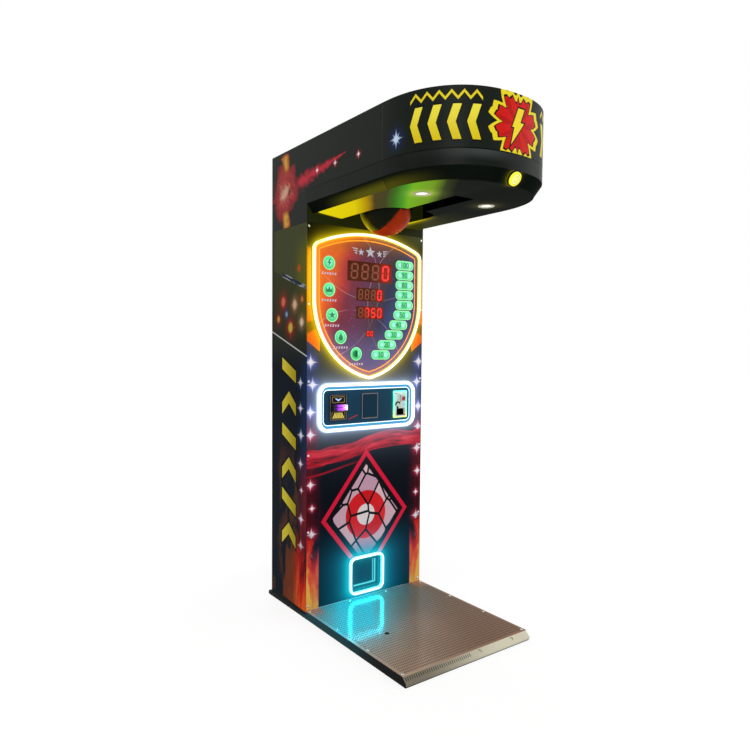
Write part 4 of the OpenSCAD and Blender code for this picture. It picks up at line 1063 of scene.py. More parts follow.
# painted shade: near-black cover strips close the seam under the head sides from within
seam = {"inner": 0.3488, "outer": 0.3504, "front": -0.288, "rear": 0.636, "low": 2.016, "high": 2.038}
seamStrips = MeshBag("seamStrips")
for side in (-1, 1):
    seamStrips.box(side * seam["inner"], side * seam["outer"], seam["front"], seam["rear"], seam["low"],
                   seam["high"])
addPiece("seamStrips", seamStrips.mesh(), deepBlack, bevel=0.0004)
soften("rear_panel", "rearSkin", blackPaint, 0.0004)
soften("service_door", "rearDoor", blackPaint, 0.0006)
soften("door_hinges", "doorHinges", zincSteel, 0.0004)


def buildNose():
    look = {"gap": 0.0006, "thick": 0.002, "edge": 0.0008, "innerEdge": 0.0003}
    low, high = headPlan["trimTop"] + look["gap"], headPlan["top"]
    outer, inner = noseOutline(), noseOutline(look["thick"])
    nearOuter, nearInner = noseOutline(look["edge"]), noseOutline(look["thick"] - look["innerEdge"])
    rings = [(outer, low + look["edge"]), (outer, high - look["edge"]), (nearOuter, high), (nearInner, high),
             (inner, high - look["innerEdge"]), (inner, low + look["innerEdge"]), (nearInner, low),
             (nearOuter, low)]
    points, faces, coords, lengths = [], [], [], [0.0]
    for a, b in zip(outer, outer[1:]):
        lengths.append(lengths[-1] + math.dist(a, b))
    for ring, z in rings:
        for (x, y), u in zip(ring, lengths):
            points.append((x, y, z))
            coords.append((u, z - low))
    count = len(outer)
    for k in range(len(rings)):
        n = (k + 1) % len(rings)
        for i in range(count - 1):
            faces.append((k * count + i, k * count + i + 1, n * count + i + 1, n * count + i))
    faces.append(tuple(k * count for k in range(len(rings))))
    faces.append(tuple(k * count + count - 1 for k in range(len(rings)))[::-1])
    mesh = meshFrom("noseSkin", points, faces, coords)
    addPiece("noseSkin", mesh, nosePrint, "cabinet", ["nose_skin"], smooth=40)


buildNose()
print("cabinet and head ready")


# score board

backPrint = besideTube("shieldBoard", shieldDistance, linear(246, 222, 16))
soften("shield_backing", "shieldBack", backPrint, 0.0005)
soften("shield_face", "shieldFace", shieldPrint, 0.0004)


def addTube(name, outer, inner, cx, cz, material, node, slot):
    tube = MeshBag(name)
    tube.band(outer, inner, cx, cz, tubeBack, tubeFront, crown=0.62, steps=10)
    tube.piece(material, replaces=[node], slot=slot, smooth=60)


def ringAround(unit):
    outer, inner = [roundedOutline(2 * unit["half"] + k * tubeWidth, 2 * unit["halfHeight"] + k * tubeWidth,
                                   unit["corner"] + k * tubeWidth / 2, 14) for k in (1, -1)]
    return outer, inner, unit["x"], unit["z"]


addTube("shieldTube", shieldOutline(-tubeWidth / 2), shieldOutline(tubeWidth / 2), 0, 0, yellowLight,
        "shield_neon", "yellow_light")
addTube("coinTube", *ringAround(coinUnit), whiteLight, "coin_neon", "white_light")
addTube("outletTube", *ringAround(outlet), cyanLight, "outlet_neon", "cyan_light")
print("tubes ready")


# score board details

def lensMaterial(name, halfWidth, halfHeight, corner):
    material, pins, spot = newMaterial(name, Roughness=0.15, Specular_IOR_Level=0.35)
    u, v = localPlace(spot.tree)
    distance = boxDistance(u, v, {"x": 0.0, "z": 0.0, "half": halfWidth, "halfHeight": halfHeight,
                                  "corner": corner})
    rim = distance.ease(-0.0060, -0.0035)
    spread = max(0.0, halfWidth - halfHeight) * 0.9
    spots = reduce(Wire.max, [sumSquares(u - side * spread, v).fade(0.00022) for side in (-1, 1)])
    color = Coat(mixColor(v.ease(-0.02, 0.03), linear(44, 196, 104), linear(74, 226, 138)))
    color.lay(spots * 0.8, linear(176, 250, 244))
    color.lay(rim, linear(158, 250, 172))
    color.lay(distance.ease(-0.0016, -0.0004), linear(70, 150, 90))
    feed(pins["Base Color"], mixColor(0.7, color.tone, black))
    shine(pins, color.tone, strength=0.92)
    feed(pins["Normal"], bump(noise(spot, 400.0, 1.0), 0.04, 0.0004))
    return material


def glowing(name, color, strength=1.0, cast=0.0):
    material, pins, spot = newMaterial(name, Base_Color=shaded(color, 0.4), Roughness=0.3,
                                       Specular_IOR_Level=0.3)
    shine(pins, mixColor(noise(spot, 120.0, 2.0), shaded(color, 0.90), color), cast, strength)
    return material


faceY = frontY - 0.009
# each window's width, height, drop below the board's top and text
display = {"x": 0.004, "windows": ((0.271, 0.097, 0.181, "   0"), (0.165, 0.064, 0.293, "   0"),
                                   (0.165, 0.060, 0.382, " 750"), (0.046, 0.032, 0.486, "00"))}
segmentsOf = {" ": "", "0": "abcdef", "5": "acdfg", "7": "abc"}


def digitPlaces(window):
    # distance between a window's digits, and each digit's sign and centre
    width, height, drop, text = window
    pitch = width / len(text) * 0.93
    middle = (len(text) - 1) / 2
    return pitch, [(letter, display["x"] + (i - middle) * pitch) for i, letter in enumerate(text)]


def segmentBars(width, height, thick):
    # the seven bars of a slanted digit, each a six-sided outline
    slant = 0.07
    w, h, gap = width / 2 - thick / 2, height / 2 - thick / 2, thick * 0.60
    ends = {"a": (-w + gap, h, w - gap, h), "b": (w, h - gap, w, gap), "c": (w, -gap, w, -h + gap),
            "d": (-w + gap, -h, w - gap, -h), "e": (-w, -gap, -w, -h + gap), "f": (-w, h - gap, -w, gap),
            "g": (-w + gap, 0.0, w - gap, 0.0)}
    bars = {}
    for label, (x0, z0, x1, z1) in ends.items():
        length = math.hypot(x1 - x0, z1 - z0)
        dx, dz = (x1 - x0) / length * thick / 2, (z1 - z0) / length * thick / 2
        shape = [(x0 - dx * 0.9, z0 - dz * 0.9), (x0 + dz, z0 - dx), (x1 + dz, z1 - dx),
                 (x1 + dx * 0.9, z1 + dz * 0.9), (x1 - dz, z1 + dx), (x0 - dz, z0 + dx)]
        bars[label] = [(x + slant * z, z) for x, z in shape]
    return bars


def windowMaterial():
    material, pins, spot = newMaterial("displayGlass", Roughness=0.25, Specular_IOR_Level=0.05)
    x, y, z = split(spot)
    feed(pins["Base Color"], mixColor(noise(spot, 240.0, 1.0), linear(56, 24, 8), linear(72, 32, 12)))
    # painted light: the glass glows dim red, brighter round the lit digits
    halos = []
    for window in display["windows"]:
        height, cz = window[1], board["top"] - window[2]
        halos += [sumSquares((x - cx) * 1.5, z - cz).fade(height * height * 0.35)
                  for letter, cx in digitPlaces(window)[1] if letter != " "]
    shine(pins, mixColor(reduce(Wire.max, halos) * 0.5, linear(58, 24, 10), linear(206, 26, 14)))
    return material


def buildDisplays():
    glass = MeshBag("displayWindows")
    dim, bright = MeshBag("dimSegments"), MeshBag("litSegments")
    for window in display["windows"]:
        width, height, drop, text = window
        cz = board["top"] - drop
        glass.plate(roundedOutline(width, height, 0.003), display["x"], cz, faceY, faceY - 0.001, 0.0003)
        pitch, digits = digitPlaces(window)
        bars = segmentBars(pitch * 0.70, height * 0.80, pitch * 0.150)
        for letter, cx in digits:
            for label, shape in bars.items():
                if letter == "0" and label == "g":
                    continue
                bag = bright if label in segmentsOf[letter] else dim
                bag.plate(shape, cx, cz, faceY - 0.0009, faceY - 0.0013, 0.0001, steps=1)
    glass.piece(windowMaterial(), replaces=["display_filters"], slot="display_window")
    # painted light: the unlit segments glow faintly
    dim.piece(glowing("dimSegment", linear(124, 52, 20), strength=0.8), slot="display_window")
    bright.piece(glowing("litSegment", linear(255, 26, 20), strength=1.4), slot="display_window")


def wordMesh(text, size, depth):
    # numeral as a solid, facing -Y, centred on the origin
    curve = bpy.data.curves.new("numeral", "FONT")
    curve.body, curve.size, curve.extrude, curve.resolution_u = text, size, depth / 2, 3
    curve.align_x, curve.align_y, curve.offset = "CENTER", "CENTER", size * 0.016
    holder = newObject("numeral", curve)
    mesh = bpy.data.meshes.new_from_object(holder.evaluated_get(bpy.context.evaluated_depsgraph_get()))
    bpy.data.objects.remove(holder)
    bpy.data.curves.remove(curve)
    return mesh


def starOutline(r, inner=0.42):
    corners = [(r * (inner if k % 2 else 1.0), math.radians(90 + 36 * k)) for k in range(10)]
    return [(reach * math.cos(turn), reach * math.sin(turn)) for reach, turn in corners]


# rows: each numbered lens's distance from the board's right edge
# round: the round lenses' distances from its left and its top
lens = {"rows": (98, 98, 98, 98, 99, 111, 136, 165, 209, 248), "first": 0.131, "pitch": 0.0512,
        "round": ((83, 154), (84, 281), (101, 401), (151, 506), (242, 587)), "icon": 0.0195, "front": 0.0015,
        "width": 0.117, "height": 0.048, "corner": 0.022, "radius": 0.034}
iconShapes = (
    [(0.15, 1.0), (-0.55, -0.12), (-0.05, -0.12), (-0.28, -1.0), (0.62, 0.22), (0.08, 0.22), (0.50, 1.0)],
    [(-0.9, -0.6), (0.9, -0.6), (0.95, 0.6), (0.42, 0.0), (0.0, 0.85), (-0.42, 0.0), (-0.95, 0.6)],
    starOutline(1.0),
    arc(0.0, -0.22, 0.66, -215, 35, 16) + [(0.0, 1.0)],
    arc(-0.1, 0.0, 0.95, 55, 305, 18) + arc(0.38, 0.0, 0.78, 275, 85, 14))


def buildLenses():
    bag, marks, labels = MeshBag("scoreLenses"), MeshBag("lensMarks"), MeshBag("lensLabels")
    top = faceY - lens["front"]
    for i, inset in enumerate(lens["rows"]):
        cx, cz = board["half"] - inset / 1000, board["top"] - lens["first"] - i * lens["pitch"]
        bag.plate(roundedOutline(lens["width"], lens["height"], lens["corner"]), cx, cz, faceY, top, 0.0009,
                  steps=3)
        numeral = wordMesh(str(100 - 10 * i), 0.038, 0.0004)
        marks.take(numeral, Matrix.Translation((cx, top, cz)) @ Matrix.Rotation(math.radians(90), 4, "X"))
        bpy.data.meshes.remove(numeral)
    for (px, drop), shape in zip(lens["round"], iconShapes):
        cx, cz = px / 1000 - board["half"], board["top"] - drop / 1000
        bag.plate(arc(0, 0, lens["radius"], 0, 352.5, 47), cx, cz, faceY, top, 0.0009, slot=1, steps=3)
        icon = [(x * lens["icon"], z * lens["icon"]) for x, z in shape]
        marks.plate(icon, cx, cz, top + 0.0001, top - 0.0003, 0.0001, steps=1)
        for k in range(6):
            tall = (0.013, 0.009, 0.011)[k % 3]
            bar = [(-0.005, -tall / 2), (0.003, -tall / 2), (0.0055, tall / 2), (-0.0025, tall / 2)]
            labels.plate(bar, cx + (k - 2.5) * 0.0145, cz - 0.050, faceY, faceY - 0.0003, 0.0001, steps=1)
    r = lens["radius"]
    bag.piece([lensMaterial("greenLens", lens["width"] / 2, lens["height"] / 2, lens["corner"]),
               lensMaterial("roundLens", r, r, r - 0.0001)],
              replaces=["score_lenses"], slot="score_lens", smooth=50)
    marks.piece(glowing("lensMark", linear(20, 138, 66), strength=0.6), slot="score_lens", smooth=None)
    # painted light: the printed labels glow
    labels.piece(glowing("lensLabel", linear(214, 190, 206), strength=0.6), slot="printed_acrylic",
                 smooth=None)


def buildEmblem():
    dark, silver = MeshBag("emblemShadow"), MeshBag("emblemStars")
    cx, cz = display["x"], board["top"] - 0.083
    for dx, dz, r in ((0.0, 0.0, 0.030), (-0.056, -0.004, 0.019), (0.056, -0.004, 0.019)):
        dark.plate(starOutline(r * 1.16, 0.46), cx + dx, cz + dz, faceY, faceY - 0.0003, 0.0001, steps=1)
        silver.plate(starOutline(r), cx + dx, cz + dz, faceY - 0.0002, faceY - 0.0008, 0.0002, steps=1)
    for side in (-1, 1):
        for start, end, height in ((0.078, 0.112, 0.010), (0.080, 0.104, -0.001), (0.080, 0.096, -0.012)):
            wing = [(side * start, height - 0.0035), (side * end, height + 0.003),
                    (side * (end - 0.005), height + 0.005), (side * start, height + 0.0035)]
            silver.plate(wing[::side], cx, cz, faceY - 0.0002, faceY - 0.0008, 0.0002, steps=1)
    dark.piece(satin("emblemShadow", linear(30, 16, 22), 0.4), slot="printed_acrylic", smooth=None)
    # painted highlight: the silver stars glow
    silver.piece(glowing("emblemSilver", linear(206, 202, 210), strength=0.55), slot="printed_acrylic",
                 smooth=None)


buildDisplays()
buildLenses()
buildEmblem()
print("score board ready")


# coin unit

noteX, blankX = -0.182, 0.008
unitY = frontY - 0.006  # face of the coin panel


def coinPanelMaterial():
    material, pins, spot = newMaterial("coinPanel", Specular_IOR_Level=0.05, Roughness=0.3)
    x, y, z = split(spot)
    distance = boxDistance(x, z, coinUnit)
    # painted light of the tube: a blue line and a pale line inside it, where the panel's edge takes its
    # light, and spill round it
    blue = (distance + 0.0155).abs().ease(0.0052, 0.0040)
    pale = (distance + 0.0230).abs().ease(0.0026, 0.0014)
    spill = (distance + 0.005).abs().fade(0.004).max(distance.above(0.0) * 0.9) * (1.0 - blue)
    # the coin acceptor's green light round its plate
    beside = boxDistance(x, z, dict(coinPlate, corner=0.006)).max(0.0)
    color = Coat(mixColor(noise(spot, 6.0), linear(20, 54, 74), linear(29, 67, 89)))
    color.lay(blue, linear(24, 72, 96))
    color.lay(pale, linear(206, 224, 236))
    # a slanted red stroke low on the left of the panel
    stroke = (z - coinUnit["z"] + 0.052 - (x + 0.09) * 0.35).abs().ease(0.0030, 0.0016)
    color.lay(stroke * (x + 0.09).abs().ease(0.030, 0.020), linear(190, 36, 34))
    # painted light: the panel glows at a tenth of its colour
    glow = Coat(mixColor(0.90, color.tone, black))
    glow.lay(beside.fade(0.007) * 0.8, linear(10, 118, 86))
    glow.lay(blue, linear(54, 152, 194))
    glow.lay(pale, linear(236, 248, 255))
    glow.lay(spill, linear(216, 232, 255))
    feed(pins["Base Color"], color.tone)
    shine(pins, glow.tone)
    return material


def tongueMaterial():
    # the note mouth's lit lip: violet on its left, nearly white on its right
    material, pins, spot = newMaterial("noteLip", Roughness=0.2, Specular_IOR_Level=0.3)
    x, y, z = split(spot)
    across = (x - noteX + 0.039) / 0.078
    lit = across.ease(0.22, 0.26) * (z - coinUnit["z"] - across * 0.002).abs().ease(0.0150, 0.0135)
    color = ramp(across, [(0.24, linear(122, 34, 200)), (0.50, linear(176, 64, 240)),
                          (0.80, linear(222, 130, 250)), (1.0, linear(255, 236, 255))])
    color = mixColor(lit, linear(18, 14, 24), color)
    feed(pins["Base Color"], color)
    shine(pins, color, cast=0.8, strength=0.95)
    return material


def buildCoinUnit():
    soften("coin_panel", "coinPanel", coinPanelMaterial(), 0.0003)
    cz = coinUnit["z"]
    # note acceptor: faceplate with its lit lip
    mesh = cleanCopy("note_bezel", 0.0008)
    for polygon in mesh.polygons:
        if polygon.center.y < unitY - 0.0062:
            polygon.material_index = 1
    addPiece("noteFaceplate", mesh, [blackPlastic, tongueMaterial()], "cabinet", ["note_bezel"],
             smooth=32)
    front = unitY - 0.006
    arrowZ, stripesZ = cz + 0.038, cz - 0.038  # middles of the two gold frames
    frames, gold, blue = MeshBag("unitFrames"), MeshBag("goldTrim"), MeshBag("noteArrow")
    frames.rim((0.096, 0.123, 0.009), (0.090, 0.117, 0.006), noteX, cz, front, 0.0014)
    gold.rim((0.072, 0.030, 0.006), (0.067, 0.025, 0.004), noteX, arrowZ, front, 0.0012)
    arrow = [(-0.020, 0.006), (0.0, -0.008), (0.020, 0.006), (0.010, 0.006), (0.0, 0.001), (-0.010, 0.006)]
    blue.plate(arrow, noteX, arrowZ, front, front - 0.0008, 0.0002, steps=1)
    gold.rim((0.076, 0.036, 0.006), (0.072, 0.032, 0.004), noteX, stripesZ, front, 0.0010)
    for k in range(7):
        # stripes that fan out downwards
        low, high = (k - 3) * 0.0098, (k - 3) * 0.0066
        bar = [(low - 0.0033, -0.0135), (low + 0.0033, -0.0135),
               (high + 0.0018, 0.0130), (high - 0.0018, 0.0130)]
        gold.plate(bar, noteX, stripesZ, front, front - 0.0012, 0.0003, slot=1, steps=1)
    # blank plate: thick rim round a dark pane
    soften("blank_plate", "blankPlate", satin("bluePane", linear(15, 50, 70), 0.25, specular=0.06), 0.0006)
    frames.rim((0.100, 0.127, 0.006), (0.090, 0.117, 0.003), blankX, cz, unitY - 0.004, 0.0016)
    frames.piece(satin("frameGrey", linear(98, 92, 92), 0.3, specular=0.5), slot="black_plastic")
    gold.piece([satin("goldLine", linear(170, 142, 66), 0.3),
                glowing("yellowStripe", linear(224, 206, 88), strength=0.75)], slot="yellow_plastic")
    blue.piece(glowing("blueArrow", linear(176, 206, 255), strength=0.9), slot="white_light", smooth=None)


def buildCoinFace():
    coinX, cz, tall = coinPlate["x"], coinPlate["z"], coinPlate["halfHeight"]
    material, pins, spot = newMaterial("coinFaceplate", Roughness=0.25, Specular_IOR_Level=0.4)
    x, y, z = split(spot)
    distance = boxDistance(x, z, coinPlate)
    face = mixColor(noise(spot, 18.0), linear(176, 196, 182), linear(204, 216, 200))
    lit = ramp((z - cz + tall) / (2 * tall), [(0.0, linear(206, 236, 120)), (0.3, linear(120, 236, 190)),
                                              (0.7, linear(84, 226, 206)), (1.0, linear(120, 250, 236))])
    edge = distance.ease(-0.0075, -0.0035)
    wash = (distance + 0.004).abs().fade(0.012) * 0.6
    feed(pins["Base Color"], mixColor(edge, face, lit))
    shine(pins, mixColor(wash.max(edge), mixColor(0.86, face, black), lit))
    node = "coin_face"
    addPiece("coinFace", cleanCopy(node, 0.0010), material, "cabinet", [node], smooth=32)
    front = unitY - 0.008
    returnX, returnZ = coinX + 0.020, cz + 0.028  # middle of the return button
    steel, dark, dots = MeshBag("coinSlotPlate"), MeshBag("coinLever"), MeshBag("coinLamps")
    steel.rim((0.022, 0.054, 0.005), (0.0056, 0.0404, 0.001), coinX, returnZ, front, 0.0024, crown=0.3)
    steel.rim((0.060, 0.044, 0.005), (0.0522, 0.0362, 0.002), coinX, cz - 0.040, front, 0.0020, crown=0.3)
    steel.rim((0.027, 0.027, 0.004), (0.0210, 0.0210, 0.001), returnX, returnZ, front, 0.0016, crown=0.4)
    # curved lever over the cup, with its hub
    hook = arc(0.0, 0.0, 0.016, 200, 20, 14) + arc(0.0, 0.0, 0.0105, 20, 200, 14)
    dark.plate(hook, coinX - 0.018, cz - 0.002, front, front - 0.0030, 0.0006)
    dark.spin([(0.0, -0.0005), (0.0055, -0.0005), (0.0055, 0.0030), (0.0046, 0.0040), (0.0, 0.0044)],
              facing(coinX - 0.020, front, cz - 0.016), 20)
    for dx, dz, r, slot in ((0.026, -0.004, 0.0058, 0), (0.026, -0.056, 0.0062, 1),
                            (-0.030, 0.056, 0.0040, 1)):
        dots.spin([(0.0, -0.0003), (r, -0.0003), (r, 0.0008), (r * 0.7, 0.0020), (0.0, 0.0025)],
                  facing(coinX + dx, front, cz + dz), 20, slot=slot)
    steel.piece(groundSteel, slot="ground_steel")
    dark.piece(blackPlastic, slot="black_plastic")
    dots.piece([glowing("blueDot", linear(90, 190, 250)),
                glowing("redDot", linear(224, 44, 36), strength=0.8)], slot="white_light")
    # return button: its front dished and ringed
    node = "coin_return_button"
    addPiece("coinReturn", cleanCopy(node, 0.0014), redPlastic, "coin_button", [node],
             smooth=32)
    cap = MeshBag("coinReturnRing")
    cap.spin([(0.0, 0.0), (0.0034, 0.0), (0.0038, 0.0005), (0.0062, 0.0007), (0.0070, 0.0), (0.0070, -0.0006),
              (0.0, -0.0006)], facing(returnX, frontY - 0.018, returnZ), 24)
    cap.piece(redPlastic, "coin_button", slot="red_plastic")


buildCoinUnit()
buildCoinFace()
print("coin unit ready")


# prize outlet

def buildOutlet():
    glossy, pins, spot = newMaterial("chuteSteel", Metallic=0.55, Roughness=0.16)
    x, y, z = split(spot)
    # painted shade: the chute darkens further in; painted light of the cyan tube tints it teal and glows near
    # its mouth
    depth = (y - frontY).ease(0.0, 0.10)
    feed(pins["Base Color"], mixColor(depth, linear(30, 96, 112), linear(12, 30, 38)))
    near = (y - frontY).max(0.0).fade(0.022)
    shine(pins, mixColor(near * 0.8, linear(4, 14, 18), linear(30, 150, 176)))
    feed(pins["Normal"], bump(noise(spot, 40.0, 2.0), 0.06, 0.001))
    soften("outlet_chute", "outletChute", glossy, 0.0004)
    soften("outlet_plate", "outletPlate", besideTube(
        "outletBoard", lambda x, z: boxDistance(x, z, outlet), linear(20, 220, 240), 0.012), 0.0006)
    # smoked flap with a folded lower lip and two hinge eyes
    flapGlass, pins, spot = newMaterial("flapGlass", Roughness=0.14, Specular_IOR_Level=0.10)
    x, y, z = split(spot)
    cloud = noise(spot, 9.0, 3.0)
    tone = mixColor(cloud, linear(8, 36, 48), linear(16, 58, 72))
    feed(pins["Base Color"], tone)
    # painted light of the tube: a teal glow over the flap, stronger near its edge
    inner = boxDistance(x, z, dict(outlet, half=0.080, halfHeight=0.071, corner=0.008))
    edge = (inner + 0.002).abs().fade(0.016)
    # bright reflections of the tube down its right side and along its foot
    across, up = x - outlet["x"], z - outlet["z"]
    upright = (across - 0.066).abs().ease(0.0052, 0.0030)
    upright = upright.max((across - 0.053).abs().ease(0.0042, 0.0024) * 0.7)
    line = upright * up.abs().ease(0.064, 0.056)
    low = (up + 0.058).abs().ease(0.0052, 0.0026) * across.abs().ease(0.070, 0.062)
    glow = mixColor(edge * 0.6, linear(5, 62, 78), linear(10, 150, 160))
    shine(pins, mixColor(line.max(low) * 0.9, glow, linear(96, 236, 250)))
    soften("outlet_flap", "prizeFlap", flapGlass, 0.0008)
    pull = MeshBag("flapPull")
    pull.plate(roundedOutline(0.060, 0.008, 0.0035), outlet["x"], 0.104, frontY + 0.0122, frontY + 0.0092,
               0.0012)
    pull.piece(flapGlass, "prize_flap", slot="flap_acrylic")


buildOutlet()
print("outlet ready")


# lamps and start button under the head

def buildLamps():
    bezel, lenses = MeshBag("lampBezels"), MeshBag("lampLenses")
    down, lampY = (0, 0, -1), frontY - lamp["reach"]
    for x in (-lamp["x"], lamp["x"]):
        turn = facing(x, lampY, bellyZ, down)
        bezel.spin([(0.027, 0.0), (0.036, 0.0), (0.0359, 0.0010), (0.0345, 0.0022), (0.0315, 0.0028),
                    (0.027, 0.0030), (0.0246, 0.0024), (0.0232, 0.0006), (0.023, -0.022), (0.027, -0.022),
                    (0.027, 0.0)], turn, 48)
        for side in (-1, 1):
            bezel.spin([(0.0, -0.0004), (0.0024, -0.0004), (0.0024, 0.0002), (0.0014, 0.0007), (0.0, 0.0008)],
                       facing(x + side * 0.0302, lampY, bellyZ - 0.0026, down), 12, slot=1)
        lenses.spin([(0.0, -0.0045), (0.010, -0.0042), (0.018, -0.0030), (0.0226, -0.0008), (0.0228, -0.0165),
                     (0.0, -0.0165)], turn, 40)
        # beads of the reflector
        for k in range(7):
            a, r = math.radians(60 * k), 0.0 if k == 6 else 0.011
            lenses.spin([(0.0032, -0.0042), (0.0026, -0.0024), (0.0, -0.0016)],
                        facing(x + r * math.cos(a), lampY + r * math.sin(a), bellyZ, down), 12)
    bezel.piece([creamPaint, screwSteel], replaces=["downlight_bezels"], slot="bezel_cream")
    lenses.piece(glowing("lampWhite", linear(255, 252, 240), strength=1.15, cast=1.0),
                 replaces=["downlight_lenses"], slot="white_light", smooth=50)


def buildStartButton():
    tilt = math.atan2(0.032, 0.046)  # slope of the nose's chamfer
    turn = facing(0.0, frontY - startButton["reach"], startButton["z"],
                  (0.0, -math.cos(tilt), -math.sin(tilt)))
    soften("button_bezel", "buttonBezel", blackPlastic, 0.0008)
    cap = MeshBag("startButton")
    profile = [(0.0, -0.026), (0.010, -0.026), (0.010, 0.0053), (0.0273, 0.0053), (0.0273, 0.0092),
               (0.0268, 0.0120), (0.0250, 0.0139), (0.0225, 0.0145), (0.0198, 0.0145), (0.0188, 0.0137),
               (0.0178, 0.0136), (0.0128, 0.0140), (0.0118, 0.0132), (0.0108, 0.0138), (0.0060, 0.0144),
               (0.0, 0.0146)]
    slots = [0, 0, 0, 0, 0, 0, 0, 0, 1, 1, 2, 1, 1, 0, 2]
    cap.spin(profile, turn, 56, slots=slots)
    cap.piece([glowing("buttonYellow", linear(242, 236, 44), strength=0.95, cast=1.0),
               glowing("buttonGroove", linear(186, 180, 40), strength=0.7),
               glowing("buttonPale", linear(250, 250, 176), strength=0.95)],
              "start_button", ["start_button"], "yellow_plastic", smooth=50)


buildLamps()
buildStartButton()
print("lamps and button ready")


# ball and arm

armSlope = math.radians(5.6)
pivot = {"reach": 0.620, "z": 2.007, "arm": 0.482}
ball = {"r": 0.126, "neck": 0.036, "neckAt": 0.136, "firstSeam": -28.0,
        "center": (0.0, frontY - pivot["reach"] + pivot["arm"] * math.cos(armSlope),
                   pivot["z"] - pivot["arm"] * math.sin(armSlope))}
armAxis = Vector((0.0, -math.cos(armSlope), math.sin(armSlope)))  # from the ball to the pivot
armUp = Vector((0.0, math.sin(armSlope), math.cos(armSlope)))


def leatherMaterial():
    material, pins, spot = newMaterial("ballLeather", Specular_IOR_Level=0.04)
    u, v = localPlace(spot.tree)  # gores from 0 to 4 round the ball, metres along the arm
    gore = u.floor()
    red = (gore * 0.5).fract().above(0.2)
    edge = (u - u.math("ROUND")).abs()
    hide = noise(spot, 260.0, 4.0, 0.6)
    broad = noise(spot, 14.0, 3.0)
    dark = mixColor(broad, linear(16, 18, 10), linear(30, 33, 16))
    scarlet = mixColor(broad, linear(156, 34, 6), linear(206, 66, 14))
    color = Coat(mixColor(red, dark, scarlet))
    color.lay(edge.ease(0.012, 0.006), linear(14, 12, 10))
    stitch = (v * 190.0).sine().above(-0.2) * (edge - 0.042).abs().ease(0.014, 0.009)
    color.lay(stitch * 0.3, linear(96, 86, 50))
    feed(pins["Base Color"], color.tone)
    # the board's light tube washes its underside and the flank towards the board
    nx, ny, nz = facingOf(spot.tree)
    lit = (ny * 0.8 - nz * 0.6 - nx * 0.25).ease(0.42, 0.95)
    shine(pins, mixColor(lit, black, mixColor(red, linear(150, 138, 0), linear(92, 56, 4))))
    feed(pins["Roughness"], hide.ease(0.2, 0.8, 0.34, 0.44))
    pores = bump(hide, 0.05, 0.0005)
    feed(pins["Normal"], bump(stitch, 0.5, 0.0012, pores))
    return material


def buildBall():
    neck, reach, r = ball["neck"], ball["neckAt"], ball["r"]
    rise = math.atan2(neck, reach) + math.acos(r / math.hypot(neck, reach))
    angles = [math.pi - (math.pi - rise) * i / 44 for i in range(45)]
    profile = [(max(0.0, r * math.sin(a)), r * math.cos(a)) for a in angles]
    wide, high = profile[-1]
    profile += [(neck + (wide - neck) * (1 - k / 4), high + (reach - high) * k / 4) for k in range(1, 5)]
    profile += [(neck * 0.8, reach), (0.0, reach)]
    center, columns = Vector(ball["center"]), 128
    points, coords, faces = [], [], []
    for radius, height in profile:
        for i in range(columns + 1):
            turn = 4.0 * i / columns  # in gores
            angle = math.radians(ball["firstSeam"] + 90.0 * turn)
            near = abs((turn + 0.5) % 1.0 - 0.5) * 90.0
            groove = math.exp(-(near / 2.2) ** 2) * 0.022 + (near < 20) * 0.006 * (1 - near / 20) ** 2
            rr = radius * (1 - groove)
            points.append(center + Vector((-math.cos(angle) * rr, 0, 0)) - armUp * math.sin(angle) * rr
                          + armAxis * height * (1 - groove * 0.3))
            coords.append((turn, height))
    row = columns + 1
    for k in range(len(profile) - 1):
        for i in range(columns):
            faces.append((k * row + i, k * row + i + 1, (k + 1) * row + i + 1, (k + 1) * row + i))
    bag = MeshBag("punchBall")
    bag.add(points, faces, 0, coords)
    piece = bag.piece(leatherMaterial(), "ball_arm", ["punch_ball"], "ball_leather", smooth=60)
    # steel collar that holds the hide at the neck
    collar = MeshBag("ballCollar")
    collar.spin([(0.0345, 0.129), (0.0372, 0.129), (0.0380, 0.1305), (0.0380, 0.1355), (0.0372, 0.137),
                 (0.0345, 0.137), (0.0345, 0.129)], facing(*center, armAxis), 48)
    collar.piece(deepBlack, "ball_arm", slot="arm_paint")
    soften("punch_arm", "punchArm", satin("armPaint", linear(13, 15, 15), 0.55, specular=0.03), 0.0008)
    # painted shade: the shaft and the speed disc are finished dark steel
    soften("arm_shaft", "armShaft", deepSteel, 0.0006)
    soften("speed_disc", "speedDisc", deepSteel, 0.0002)


buildBall()
print("ball ready")


# tread deck

deckTop = 0.040


